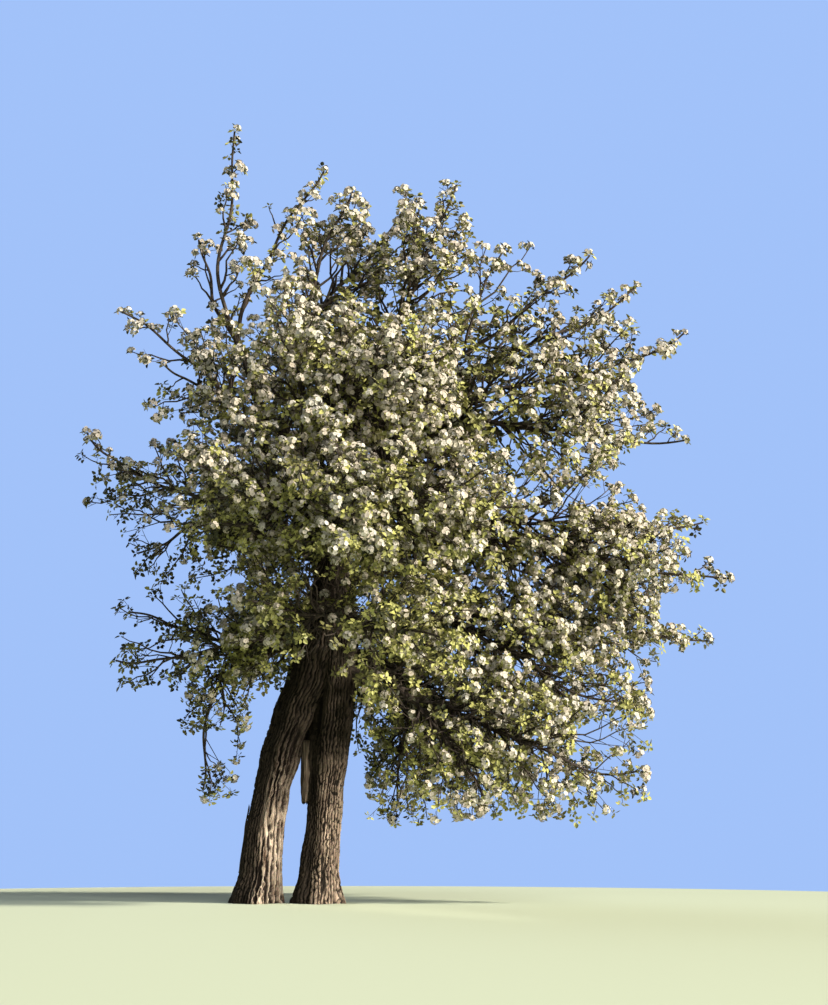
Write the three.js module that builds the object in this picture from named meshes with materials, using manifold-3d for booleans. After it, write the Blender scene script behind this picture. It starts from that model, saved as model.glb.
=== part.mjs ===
// An old pear tree in full blossom, in millimetres, +Z up.
// Its hollow trunk has split into two legs that join above head height. From the trunk
// limbs go out all round. The inner stretch of a limb is a bare bough, and its outer
// stretch is the stem of one mass of twigs, leaf sprays and clusters of blossom.
// The origin is at ground level, in the middle of the right leg's foot. +X is to the
// right in the reference view, and -Y faces the viewer.
import * as THREE from 'three';
import { mergeVertices } from 'three/addons/utils/BufferGeometryUtils.js';
import Module from 'manifold-3d';

const wasm = await Module();
wasm.setup();

// Driving dimensions
const CUT_GAP = 0.3; // clearance left where one piece meets the next
const JOINT_DETAIL = 3; // how finely the joints of twigs and sprays are kept
const SHORTEST_EDGE = 0.1; // what is shorter than this on a finished solid is merged away
const TRUNK_TOP = 4450;
const TRUNK_SIDES = 18;
const TRUNK_RINGS = 15;
const RIB_DEPTH = 0.055; // relief of the trunk's ribs, of its radius
const KNOT_DEPTH = 0.035; // and of its slow bulges
const FLARE_REACH = 0.2; // and of its root flares
const FLARE_HEIGHT = 170; // over which the root flares die out
const OLD_WOOD_TOP = 4000; // where the ribs have died out
const BOUGH_SIDES = 7;
const BOUGH_RING_STEP = 420;
const STEM_SIDES = 4;
const STEM_RINGS = 5;
const TWIG_SIDES = 3;
const TWIG_RINGS = 1;
const TWIG_STEP = 133; // a mass has one more side twig for each of these in its spread
const SPRAY_STEP = 385; // and a twig one more spray for each of these in its length
const LIMB_TIP_RADIUS = 9;
const TWIG_RADIUS = 10;
const TAPER = 0.85; // below 1 a limb thins sooner than evenly
const TWIG_LIFT = 0.16; // how much a twig makes upward, of its length
const SPRAY_ROOT = 12; // how far a spray's root lies beyond the middle of its twig
const LEAF_SPRAY_LENGTH = 610;
const LEAF_SPRAY_WIDTH = 0.66; // of its length
const LEAF_SPRAY_THICKNESS = 0.07; // of its length
const BLOSSOM_RADIUS = 92;
const BOUGH_CROOK = 0.035; // sideways sway of a limb's line, of its length
const STEM_CROOK = 0.022;
const STEM_ROOT = 24; // how far back inside its bough a stem starts before it is cut clear
const STEM_SHARE = 0.42; // a stem's radius at its start, of the radius of its bough's tip
const FORK_OFFSET = 0.5; // how far from the middle of the tip it stands, of the same
const FORK_SPREAD = 0.4; // how strongly stems that share a tip turn apart
const SPACE_MARGIN = 22; // what a mass keeps free on its side of a border
const LIMB_CLEARANCE = 26; // what foliage keeps free round a limb
const GROUND_CLEARANCE = 600; // nothing but the trunk comes lower than this
const GOLDEN_ANGLE = THREE.MathUtils.degToRad(137.508);
const UP = new THREE.Vector3(0, 0, 1);

const BARK = { color: 0x6b5644, roughness: 0.95, metalness: 0 };
const LIMB_BARK = { color: 0x4a3f36, roughness: 0.92, metalness: 0 };
const BLOSSOM_AND_LEAF = [0xe4e0c4, 0xd3d2a4, 0xdcd9ba];

// The two legs of the trunk, from the ground to where they have grown together. Each
// station is the height, the middle's x, half the width across x, and half the depth.
const LEFT_LEG = [
  [0, -630, 240, 290],
  [340, -574, 198, 250],
  [740, -535, 184, 235],
  [1130, -462, 180, 235],
  [1450, -372, 208, 245],
  [1920, -206, 246, 260],
  [2250, -82, 250, 262],
  [2900, 70, 206, 222],
  [3500, 160, 160, 178],
  [4100, 212, 122, 140],
];
const RIGHT_LEG = [
  [0, 0, 250, 300],
  [340, 12, 210, 255],
  [740, 51, 181, 235],
  [1130, 66, 190, 235],
  [1450, 84, 212, 245],
  [1920, 140, 208, 255],
  [2250, 172, 202, 250],
  [2900, 172, 178, 215],
  [3600, 200, 146, 165],
  [TRUNK_TOP, 236, 104, 112],
];
// The hanging shell of broken wood on the right leg, beside the split.
const BROKEN_SHELL = { x: -128, top: 1560, foot: 1010, halfWidth: 52, halfDepth: 120 };

// One row for each bough: the height at which it leaves the trunk's middle; then where its
// tip is, as a bearing (0 is +X, 90 is +Y), a reach (level distance from the origin) and a
// height; the slopes in degrees at which it starts and ends; and its diameter at the
// trunk and at the tip.
function bough(name, leaves, bearing, reach, height, rise, turn, thick, thin) {
  return { name, leaves, bearing, reach, height, rise, turn, thick, thin };
}

const BOUGHS = [
  bough('left_leader', 4180, 180, 860, 5780, 38, 76, 150, 78),
  bough('middle_leader', 4430, 152, 90, 5700, 88, 70, 176, 92),
  bough('right_leader', 4260, 345, 640, 5560, 46, 66, 150, 80),
  bough('high_right', 3880, 5, 1180, 5330, 54, 44, 155, 84),
  bough('upper_right', 3600, 350, 1330, 4880, 30, 22, 145, 80),
  bough('right', 3180, 9, 1350, 3760, 30, 8, 150, 84),
  bough('lower_right', 2760, 4, 1420, 2850, 20, -14, 140, 78),
  bough('drooping_right', 2380, 343, 1060, 2010, 6, -34, 130, 72),
  bough('low_back_right', 2520, 42, 1060, 2330, 10, -26, 120, 68),
  bough('upper_left', 3820, 186, 800, 4960, 44, 52, 135, 72),
  bough('left', 3380, 174, 980, 3960, 36, 10, 135, 74),
  bough('lower_left', 2640, 180, 800, 2560, 8, -12, 120, 66),
  bough('front_upper', 3980, 272, 960, 4800, 50, 34, 140, 76),
  bough('front', 3420, 274, 1130, 3850, 28, 10, 145, 80),
  bough('front_low', 2820, 281, 900, 2860, 14, -14, 120, 66),
  bough('back_upper', 3900, 84, 980, 4780, 48, 32, 140, 76),
  bough('back', 3300, 92, 1130, 3770, 30, 8, 145, 80),
  bough('back_low', 2700, 100, 950, 2720, 12, -16, 120, 66),
];

// One row for each mass. Its stem starts at the tip of the named bough, going on the same
// way. The row gives where the stem's tip is, as above, the slope at which it ends, and
// the length of the mass's longest side twig.
function mass(name, from, bearing, reach, height, turn, spread) {
  return { name, from, bearing, reach, height, turn, spread };
}

const MASSES = [
  mass('tall_shoot', 'left_leader', 180, 890, 7930, 90, 420),
  mass('top_left', 'left_leader', 278, 340, 7440, 58, 560),
  mass('left_shoulder', 'left_leader', 156, 1420, 6900, 66, 620),
  mass('top_middle', 'middle_leader', 319, 450, 7240, 66, 620),
  mass('top_back', 'middle_leader', 39, 1090, 7240, 70, 700),
  mass('top_right', 'right_leader', 352, 1420, 7330, 70, 720),
  mass('top_far_right', 'high_right', 31, 2270, 6920, 52, 760),
  mass('right_shoulder', 'high_right', 352, 2790, 6560, 46, 760),
  mass('right_shoulder_back', 'high_right', 8, 3330, 6390, 46, 720),
  mass('right_spur', 'upper_right', 358, 3740, 5800, 44, 820),
  mass('right_front', 'upper_right', 346, 3770, 4600, 6, 860),
  mass('right_high', 'right', 11, 4080, 3930, 14, 860),
  mass('right_wide', 'right', 359, 4180, 3280, -2, 860),
  mass('right_back', 'lower_right', 12, 4150, 2690, -4, 820),
  mass('right_low', 'lower_right', 1, 3290, 2000, 2, 700),
  mass('right_lowest', 'drooping_right', 350, 3270, 1330, 14, 640),
  mass('hanging_right', 'drooping_right', 338, 1800, 960, -80, 560),
  mass('hanging_back', 'low_back_right', 32, 940, 940, -84, 520),
  mass('low_back_right', 'low_back_right', 40, 2500, 1660, -10, 720),
  mass('left_tip', 'upper_left', 186, 2040, 6010, 26, 620),
  mass('front_left_upper', 'upper_left', 222, 2000, 5300, 24, 760),
  mass('left_wide', 'left', 178, 2400, 4800, 62, 700),
  mass('left_back', 'left', 160, 2050, 3600, -6, 760),
  mass('left_level', 'lower_left', 171, 1990, 2960, 6, 560),
  mass('left_low', 'lower_left', 188, 2060, 2440, 16, 560),
  mass('left_drooping', 'lower_left', 166, 1230, 1130, -78, 440),
  mass('front_top', 'front_upper', 262, 2060, 5960, 46, 880),
  mass('front_high_right', 'front_upper', 303, 2560, 5330, 24, 900),
  mass('front_left', 'front', 236, 2330, 4330, 18, 860),
  mass('front_middle', 'front', 282, 2700, 3760, 6, 860),
  mass('front_right', 'front', 320, 3050, 3880, 4, 900),
  mass('front_low_left', 'front_low', 250, 1880, 2960, 4, 660),
  mass('front_low_right', 'front_low', 304, 2600, 2530, -12, 800),
  mass('back_top', 'back_upper', 103, 2080, 5920, 46, 880),
  mass('back_high_right', 'back_upper', 51, 2680, 5380, 28, 900),
  mass('back_left', 'back', 124, 2360, 4350, 16, 860),
  mass('back_middle', 'back', 78, 2720, 3860, 6, 860),
  mass('back_right', 'back', 40, 3080, 3800, 4, 900),
  mass('back_low_left', 'back_low', 112, 2020, 2680, 2, 700),
  mass('back_low_right', 'back_low', 60, 2480, 2380, -10, 760),
];

// A number from 0 to 1 that is always the same for the same seed.
function chance(seed) {
  const wave = Math.sin(seed * 12.9898 + 4.1414) * 43758.5453;
  return wave - Math.floor(wave);
}

// Reads a leg's stations at a height, smoothly from one to the next.
function legAt(leg, z) {
  const last = leg.length - 1;
  let i = 0;
  while (i < last - 1 && z > leg[i + 1][0]) i += 1;
  const [a, b] = [leg[i], leg[i + 1]];
  const straight = THREE.MathUtils.clamp((z - a[0]) / (b[0] - a[0]), 0, 1);
  const t = (straight + THREE.MathUtils.smoothstep(z, a[0], b[0])) / 2;
  return [1, 2, 3].map((k) => THREE.MathUtils.lerp(a[k], b[k], t));
}

// The trunk's middle at a height, where limbs leave it.
function trunkMiddle(z) {
  const [left] = legAt(LEFT_LEG, Math.min(z, LEFT_LEG.at(-1)[0]));
  const [right] = legAt(RIGHT_LEG, z);
  const share = THREE.MathUtils.smoothstep(z, 3000, 4100);
  return new THREE.Vector3(THREE.MathUtils.lerp((left + right) / 2, right, share), 0, z);
}

// A closed solid from rings of points, lowest ring first, with a fan over each end.
function closedLoft(rings) {
  const sides = rings[0].length;
  const index = [];
  for (let i = 0; i < rings.length - 1; i += 1) {
    for (let k = 0; k < sides; k += 1) {
      const [a, b] = [i * sides + k, i * sides + ((k + 1) % sides)];
      index.push(a, b, b + sides, a, b + sides, a + sides);
    }
  }
  const top = (rings.length - 1) * sides;
  for (let k = 1; k < sides - 1; k += 1) {
    index.push(0, k + 1, k, top, top + k, top + k + 1);
  }
  return new THREE.BufferGeometry().setFromPoints(rings.flat()).setIndex(index);
}

// The boolean library's solid for a closed geometry.
function solid(geometry) {
  const bare = new THREE.BufferGeometry();
  bare.setAttribute('position', geometry.getAttribute('position'));
  bare.setIndex(geometry.index);
  const merged = mergeVertices(bare, 1e-3);
  return new wasm.Manifold(new wasm.Mesh({
    numProp: 3,
    vertProperties: merged.attributes.position.array,
    triVerts: new Uint32Array(merged.index.array),
  }));
}

// A leg: an oval section with ribs of old bark, which spread into root flares at the
// ground. skin makes the whole leg that much fatter and taller.
function legSolid(leg, ribs, phase, skin) {
  const top = leg.at(-1)[0];
  const rings = [];
  for (let i = 0; i <= TRUNK_RINGS; i += 1) {
    const z = top * (i / TRUNK_RINGS) ** 1.15;
    const [x, halfWidth, halfDepth] = legAt(leg, z);
    const flare = Math.exp(-z / FLARE_HEIGHT);
    const age = 1 - THREE.MathUtils.smoothstep(z, OLD_WOOD_TOP - 1600, OLD_WOOD_TOP);
    const ring = [];
    for (let k = 0; k < TRUNK_SIDES; k += 1) {
      const a = (2 * Math.PI * k) / TRUNK_SIDES;
      const rib = Math.cos(ribs * a + phase + z / 900) * RIB_DEPTH * age;
      const knot = Math.cos(2 * a + phase * 2 - z / 520) * KNOT_DEPTH;
      const root = flare * FLARE_REACH * Math.max(0, Math.cos((ribs - 1) * a + phase));
      const grow = 1 + rib + knot + root;
      const rx = halfWidth * grow + skin;
      const ry = halfDepth * grow + skin;
      const lift = i === TRUNK_RINGS ? skin : 0;
      ring.push(new THREE.Vector3(x + rx * Math.cos(a), ry * Math.sin(a), z + lift));
    }
    rings.push(ring);
  }
  return solid(closedLoft(rings));
}

// The shell of wood that hangs beside the split: a thin tongue that narrows downward.
function brokenShell(skin) {
  const { x, top, foot, halfWidth, halfDepth } = BROKEN_SHELL;
  const rings = [];
  for (const [share, wide] of [[0, 0.45], [0.3, 0.8], [0.65, 1], [1, 1]]) {
    const ring = [];
    for (let k = 0; k < 8; k += 1) {
      const a = (2 * Math.PI * (k + 0.5)) / 8;
      const slant = share === 0 ? 45 * Math.sin(a) : 0;
      const px = x + (halfWidth * wide + skin) * Math.cos(a) + 60 * share;
      const py = (halfDepth * wide + skin) * Math.sin(a);
      ring.push(new THREE.Vector3(px, py, foot + share * (top - foot) + slant));
    }
    rings.push(ring);
  }
  return solid(closedLoft(rings));
}

function trunkSolid(skin) {
  return wasm.Manifold.union([
    legSolid(LEFT_LEG, 5, 0.6, skin),
    legSolid(RIGHT_LEG, 6, 2.1, skin),
    brokenShell(skin),
  ]);
}

// A unit direction from a level bearing and a slope, both in radians.
function direction(bearing, slope) {
  const level = Math.cos(slope);
  return new THREE.Vector3(level * Math.cos(bearing), level * Math.sin(bearing), Math.sin(slope));
}

// A limb's middle line: a cubic curve that starts and ends along given directions, with a
// crooked sway across it that dies out at both ends.
class LimbLine extends THREE.Curve {
  constructor(start, startWay, tip, tipWay, crook, phase) {
    super();
    const run = tip.distanceTo(start);
    this.bend = new THREE.CubicBezierCurve3(
      start,
      start.clone().addScaledVector(startWay, 0.36 * run),
      tip.clone().addScaledVector(tipWay, -0.32 * run),
      tip,
    );
    const along = tip.clone().sub(start).normalize();
    this.side = new THREE.Vector3(-along.y, along.x, 0).normalize();
    this.over = new THREE.Vector3().crossVectors(along, this.side);
    Object.assign(this, { run, crook: crook * run, phase });
  }

  getPoint(t, target = new THREE.Vector3()) {
    const fade = Math.sin(Math.PI * t) * this.crook;
    return this.bend.getPoint(t, target)
      .addScaledVector(this.side, fade * Math.sin(7.5 * t + this.phase))
      .addScaledVector(this.over, fade * 0.7 * Math.sin(10.5 * t + 2.3 * this.phase));
  }
}

// The tip of a limb's row as a point.
function tipOf(row) {
  const bearing = THREE.MathUtils.degToRad(row.bearing);
  return new THREE.Vector3(row.reach * Math.cos(bearing), row.reach * Math.sin(bearing), row.height);
}

// Works out each bough's and each mass's line and thickness from its row. Stems that
// share a bough's tip stand side by side on it, each on the side that it makes for.
function growLimbs() {
  const boughs = new Map();
  BOUGHS.forEach((row, index) => {
    const [start, tip] = [trunkMiddle(row.leaves), tipOf(row)];
    const out = Math.atan2(tip.y - start.y, tip.x - start.x);
    const startWay = direction(out, THREE.MathUtils.degToRad(row.rise));
    const tipWay = direction(out, THREE.MathUtils.degToRad(row.turn));
    const phase = 2 * Math.PI * chance(index + 0.5);
    const line = new LimbLine(start, startWay, tip, tipWay, BOUGH_CROOK, phase);
    const radius = (t) => THREE.MathUtils.lerp(row.thick, row.thin, t ** TAPER) / 2;
    boughs.set(row.name, { ...row, index, tip, line, radius, points: line.getPoints(10) });
  });
  const masses = MASSES.map((row, place) => {
    const index = place + BOUGHS.length;
    const carrier = boughs.get(row.from);
    const siblings = MASSES.filter((other) => other.from === row.from).map(tipOf);
    const middle = siblings.reduce((sum, point) => sum.add(point), new THREE.Vector3())
      .divideScalar(siblings.length);
    const tip = tipOf(row);
    const onward = carrier.line.getTangent(1);
    const aside = tip.clone().sub(middle).projectOnPlane(onward).normalize();
    const room = carrier.radius(1);
    const start = carrier.tip.clone().addScaledVector(aside, FORK_OFFSET * room)
      .addScaledVector(onward, -STEM_ROOT);
    const startWay = onward.clone().addScaledVector(aside, FORK_SPREAD).normalize();
    const out = Math.atan2(tip.y - start.y, tip.x - start.x);
    const tipWay = direction(out, THREE.MathUtils.degToRad(row.turn));
    const phase = 2 * Math.PI * chance(index + 0.5);
    const line = new LimbLine(start, startWay, tip, tipWay, STEM_CROOK, phase);
    const radius = (t) => THREE.MathUtils.lerp(STEM_SHARE * room, LIMB_TIP_RADIUS, t ** TAPER);
    const stem = new StraightStretches(line.getSpacedPoints(STEM_RINGS));
    return { ...row, index, tip, line, stem, radius, points: line.getPoints(12) };
  });
  return { boughs: [...boughs.values()], masses };
}

// A round tapering tube along a line.
function taperedTube(line, radius, sides, rings) {
  const { normals, binormals } = line.computeFrenetFrames(rings, false);
  const loft = [];
  for (let i = 0; i <= rings; i += 1) {
    const middle = line.getPoint(i / rings);
    const r = radius(i / rings);
    const ring = [];
    for (let k = 0; k < sides; k += 1) {
      const a = (2 * Math.PI * k) / sides;
      ring.push(middle.clone()
        .addScaledVector(normals[i], r * Math.cos(a))
        .addScaledVector(binormals[i], r * Math.sin(a)));
    }
    loft.push(ring);
  }
  return solid(closedLoft(loft));
}

// The plain geometry of a solid.
function geometryOf(made) {
  const { vertProperties, triVerts } = made.getMesh();
  const geometry = new THREE.BufferGeometry();
  geometry.setAttribute('position', new THREE.BufferAttribute(vertProperties, 3));
  geometry.setIndex(new THREE.BufferAttribute(triVerts, 1));
  return geometry;
}

// The largest body of a solid, with edges too short to matter collapsed. Loose scraps
// that a cut has left are dropped, and a hollow that is sealed inside is filled, as its
// skin is one of the smaller bodies. Merging corners can part a body once more, so it
// goes round four times.
function mainBody(made) {
  let main = made;
  for (let pass = 0; pass < 4; pass += 1) {
    const bodies = solid(geometryOf(main)).simplify(SHORTEST_EDGE).decompose();
    main = bodies.reduce((best, body) => (body.volume() > best.volume() ? body : best));
  }
  return main;
}

// True where a solid is still one body once its corners are merged, and every edge of it
// belongs to two faces and no more.
function closesCleanly(made) {
  const geometry = mergeVertices(geometryOf(made), 1e-3);
  const bodies = solid(geometry).decompose();
  if (bodies.length !== 1 || bodies[0].volume() < 0.99 * made.volume()) return false;
  const index = geometry.index.array;
  const uses = new Map();
  for (let i = 0; i < index.length; i += 1) {
    const next = i % 3 === 2 ? i - 2 : i + 1;
    const key = [index[i], index[next]].sort((a, b) => a - b).join();
    uses.set(key, (uses.get(key) ?? 0) + 1);
  }
  return [...uses.values()].every((count) => count === 2);
}

// A line of straight stretches through given points, evenly shared out from 0 to 1.
class StraightStretches extends THREE.Curve {
  constructor(corners) {
    super();
    this.corners = corners;
  }

  getPoint(t, target = new THREE.Vector3()) {
    const last = this.corners.length - 1;
    const place = THREE.MathUtils.clamp(t, 0, 1) * last;
    const i = Math.min(Math.floor(place), last - 1);
    return target.lerpVectors(this.corners[i], this.corners[i + 1], place - i);
  }
}

// A limb's line made longer at its tip by a small clearance.
class LongerLine extends THREE.Curve {
  constructor(line, extra) {
    super();
    Object.assign(this, { line, extra });
  }

  getPoint(t, target = new THREE.Vector3()) {
    return this.line.getPoint(t * (1 + this.extra / this.line.run), target);
  }
}

// Distance from a point to a line that is given as points.
function distanceToPoints(point, points) {
  const nearest = new THREE.Vector3();
  const stretch = new THREE.Line3();
  let best = Infinity;
  for (let i = 0; i < points.length - 1; i += 1) {
    stretch.set(points[i], points[i + 1]).closestPointToPoint(point, true, nearest);
    best = Math.min(best, nearest.distanceTo(point));
  }
  return best;
}

// True where every point is in the mass's own space: nearer to its own stem than to any
// other, and clear of the boughs, of the trunk and of the ground.
function keepsToSpace(points, own, boughs, masses) {
  return points.every((point) => {
    const fromAxis = Math.hypot(point.x - trunkMiddle(Math.min(point.z, TRUNK_TOP)).x, point.y);
    const trunkReach = 480 - 70 * (point.z / 1000);
    if (point.z < GROUND_CLEARANCE) return false;
    if (point.z < TRUNK_TOP + LIMB_CLEARANCE && fromAxis < trunkReach) return false;
    const reach = distanceToPoints(point, own.points);
    return boughs.every((limb) => (
      distanceToPoints(point, limb.points) > limb.thick / 2 + LIMB_CLEARANCE
    )) && masses.every((other) => (
      other === own || distanceToPoints(point, other.points) > reach + 2 * SPACE_MARGIN
    ));
  });
}

// A spray of leaves: eight faces, widest behind the middle and raised along its rib.
function leafSpray(root, along, flat, length) {
  const width = new THREE.Vector3().crossVectors(flat, along).normalize();
  const up = new THREE.Vector3().crossVectors(along, width).normalize();
  const halfWidth = (length * LEAF_SPRAY_WIDTH) / 2;
  const halfThick = (length * LEAF_SPRAY_THICKNESS) / 2;
  const at = (a, b, c) => root.clone().addScaledVector(along, a * length)
    .addScaledVector(width, b * halfWidth).addScaledVector(up, c * halfThick);
  const corners = [
    at(0, 0, 0), at(0.45, 1, 0), at(0.42, 0, 1), at(0.45, -1, 0), at(0.42, 0, -1), at(1, 0, 0.4),
  ];
  const index = [0, 2, 1, 0, 3, 2, 0, 4, 3, 0, 1, 4, 5, 1, 2, 5, 2, 3, 5, 3, 4, 5, 4, 1];
  const geometry = new THREE.BufferGeometry().setFromPoints(corners).setIndex(index);
  return { points: corners, geometry };
}

// A round head of blossom with a few flat faces.
function blossomHead(middle, radius, turn) {
  const geometry = new THREE.IcosahedronGeometry(radius, 0);
  geometry.deleteAttribute('normal');
  geometry.deleteAttribute('uv');
  const merged = mergeVertices(geometry, 1e-3);
  merged.rotateZ(turn).rotateX(turn * 1.7).translate(middle.x, middle.y, middle.z);
  const place = merged.getAttribute('position');
  const points = [];
  for (let i = 0; i < place.count; i += 1) {
    points.push(new THREE.Vector3().fromBufferAttribute(place, i));
  }
  return { points, geometry: merged };
}

// Side twigs of a stem, by the tree's own rule: they leave it by the golden angle, lean
// forward more towards the tip, get shorter towards it, and make a little upward.
function sideTwigs(own) {
  const twigs = [];
  const count = Math.round(own.spread / TWIG_STEP);
  for (let k = 0; k < count; k += 1) {
    const seed = own.index * 31 + k;
    const share = 0.08 + (0.82 * (k + 0.35 + 0.3 * chance(seed))) / count;
    const root = own.stem.getPoint(share);
    const tangent = own.stem.getTangent(share);
    const across = new THREE.Vector3().crossVectors(tangent, UP).normalize();
    const over = new THREE.Vector3().crossVectors(across, tangent);
    const turn = GOLDEN_ANGLE * k + 2 * Math.PI * chance(own.index + 0.25);
    const lean = THREE.MathUtils.degToRad(64 - 24 * share);
    const length = own.spread * (1 - 0.66 * share) * (0.85 + 0.3 * chance(seed + 0.5));
    const run = tangent.multiplyScalar(Math.cos(lean))
      .addScaledVector(across, Math.sin(lean) * Math.cos(turn))
      .addScaledVector(over, Math.sin(lean) * Math.sin(turn))
      .addScaledVector(UP, TWIG_LIFT)
      .multiplyScalar(length);
    const line = new THREE.LineCurve3(root, root.clone().add(run));
    twigs.push({ line, length, seed, share });
  }
  return twigs;
}

// Leaf sprays along one line from the share first on, each with its root in the wood.
function dress(line, length, seed, first, size) {
  const pieces = [];
  const count = Math.max(1, Math.round((length * (1 - first)) / SPRAY_STEP));
  for (let j = 0; j < count; j += 1) {
    const t = first + ((0.96 - first) * (j + 0.6)) / count;
    const tangent = line.getTangent(t);
    const turn = GOLDEN_ANGLE * (j + seed);
    const along = new THREE.Vector3().crossVectors(tangent, UP).normalize()
      .applyAxisAngle(tangent, turn).multiplyScalar(0.8)
      .addScaledVector(tangent, 0.55).addScaledVector(UP, 0.12).normalize();
    const tilt = THREE.MathUtils.degToRad(20 + 65 * chance(seed + j * 1.7));
    const flat = direction(2 * turn, tilt);
    const grown = size * (1 - 0.3 * t) * (0.8 + 0.4 * chance(seed + j * 0.37));
    const root = line.getPoint(t).addScaledVector(along, -SPRAY_ROOT);
    pieces.push(leafSpray(root, along, flat, grown));
  }
  return pieces;
}

// One mass: its stem, the side twigs, their leaf sprays, and a head of blossom on the
// tips. What would leave the mass's space, or touch a limb, is skipped. scale changes the
// size of the sprays.
function massSolid(own, boughs, masses, scale) {
  const parts = [taperedTube(own.stem, own.radius, STEM_SIDES, STEM_RINGS)];
  const add = (piece) => {
    if (keepsToSpace(piece.points, own, boughs, masses)) parts.push(solid(piece.geometry));
  };
  const spraySize = scale * LEAF_SPRAY_LENGTH;
  dress(own.stem, own.line.run, own.index, 0.3, spraySize * 0.8).forEach(add);
  add(blossomHead(own.stem.getPoint(1 - 60 / own.line.run), BLOSSOM_RADIUS * 0.85, own.index));
  for (const { line, length, seed, share } of sideTwigs(own)) {
    const checks = [0.35, 0.7, 1].map((t) => line.getPoint(t));
    if (!keepsToSpace(checks, own, boughs, masses)) continue;
    parts.push(taperedTube(line, (t) => TWIG_RADIUS * (1.25 - 0.6 * t), TWIG_SIDES, TWIG_RINGS));
    dress(line, length, seed, 0.3, spraySize * (1.5 - share)).forEach(add);
    const size = BLOSSOM_RADIUS * (0.8 + 0.45 * chance(seed + 0.9));
    if (seed % 4 === 1) add(blossomHead(line.getPoint(1 - (size * 0.5) / length), size, seed));
  }
  return solid(geometryOf(wasm.Manifold.union(parts))).simplify(JOINT_DETAIL);
}

// A mass's finished body, clear of the wood. Where the union leaves an edge that four
// faces share, it is made again with sprays a little smaller.
function massBody(own, boughs, masses, wood) {
  let made = null;
  for (let attempt = 0; attempt < 5; attempt += 1) {
    made = mainBody(massSolid(own, boughs, masses, 1 - 0.02 * attempt).subtract(wood));
    if (closesCleanly(made)) break;
  }
  return made;
}

// A named mesh from a solid.
function meshOf(name, made, look) {
  const geometry = geometryOf(made);
  geometry.computeVertexNormals();
  const mesh = new THREE.Mesh(geometry, new THREE.MeshStandardMaterial(look));
  mesh.name = name;
  return mesh;
}

function pearTree() {
  const tree = new THREE.Group();
  tree.add(meshOf('trunk', mainBody(trunkSolid(0)), BARK));
  const { boughs, masses } = growLimbs();
  const woodSoFar = [trunkSolid(CUT_GAP)];
  for (const limb of boughs) {
    const rings = Math.max(3, Math.round(limb.line.run / BOUGH_RING_STEP));
    const whole = taperedTube(limb.line, limb.radius, BOUGH_SIDES, rings);
    const cut = mainBody(whole.subtract(wasm.Manifold.union(woodSoFar)));
    tree.add(meshOf(`bough_${limb.name}`, cut, LIMB_BARK));
    const longer = new LongerLine(limb.line, CUT_GAP);
    woodSoFar.push(taperedTube(longer, (t) => limb.radius(t) + CUT_GAP, BOUGH_SIDES, rings));
  }
  const wood = wasm.Manifold.union(woodSoFar);
  const stems = masses.map((own) => (
    taperedTube(own.stem, (t) => own.radius(t) + CUT_GAP, STEM_SIDES, STEM_RINGS)
  ));
  for (const own of masses) {
    const color = BLOSSOM_AND_LEAF[own.index % BLOSSOM_AND_LEAF.length];
    const look = { color, roughness: 0.8, metalness: 0 };
    const others = stems.filter((_, k) => masses[k] !== own && masses[k].from === own.from);
    const cutter = wasm.Manifold.union([wood, ...others]);
    tree.add(meshOf(`mass_${own.name}`, massBody(own, boughs, masses, cutter), look));
  }
  return tree;
}

export default pearTree();
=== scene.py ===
import math
from collections import namedtuple

import bpy
import numpy as np
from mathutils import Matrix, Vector


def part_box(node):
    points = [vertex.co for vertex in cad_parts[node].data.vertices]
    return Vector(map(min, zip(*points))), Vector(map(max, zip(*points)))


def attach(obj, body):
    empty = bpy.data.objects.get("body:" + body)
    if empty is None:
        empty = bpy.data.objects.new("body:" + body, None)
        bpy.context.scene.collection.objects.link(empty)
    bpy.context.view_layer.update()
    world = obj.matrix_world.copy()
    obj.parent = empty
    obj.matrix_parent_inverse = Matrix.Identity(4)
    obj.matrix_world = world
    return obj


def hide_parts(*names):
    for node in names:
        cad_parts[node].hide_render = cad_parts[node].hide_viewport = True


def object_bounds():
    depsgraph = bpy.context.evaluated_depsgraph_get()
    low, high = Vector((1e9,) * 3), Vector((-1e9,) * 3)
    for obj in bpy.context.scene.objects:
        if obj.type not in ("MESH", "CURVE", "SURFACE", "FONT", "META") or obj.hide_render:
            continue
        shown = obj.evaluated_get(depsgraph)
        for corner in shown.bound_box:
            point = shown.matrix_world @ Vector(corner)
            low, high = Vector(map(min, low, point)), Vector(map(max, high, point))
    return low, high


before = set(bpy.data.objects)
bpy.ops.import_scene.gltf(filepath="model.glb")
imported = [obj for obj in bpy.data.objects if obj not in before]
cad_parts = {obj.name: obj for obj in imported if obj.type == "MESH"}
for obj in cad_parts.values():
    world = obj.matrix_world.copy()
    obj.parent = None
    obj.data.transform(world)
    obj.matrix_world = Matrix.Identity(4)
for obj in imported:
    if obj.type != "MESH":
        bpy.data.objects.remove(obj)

packed_box = [list(corner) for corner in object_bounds()]

# The view: a long lens low in front of the tree, aimed a little above the middle of its
# height, so that the crown stands against the backdrop.
CAMERA_PLACE = Vector((0.987, -30.0, 1.2))
CAMERA_AIM = Vector((0.970, 0.0, 4.067))
CAMERA_LENS = 105.4
FARTHEST_SEEN = 400

view = bpy.data.cameras.new("view")
view.lens = CAMERA_LENS
view.clip_end = FARTHEST_SEEN
bpy.context.scene.view_settings.view_transform = "Standard"
camera = bpy.data.objects.new("view", view)
camera.location = CAMERA_PLACE
camera.rotation_euler = (CAMERA_AIM - CAMERA_PLACE).to_track_quat("-Z", "Y").to_euler()
bpy.context.scene.collection.objects.link(camera)
bpy.context.scene.camera = camera

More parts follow.
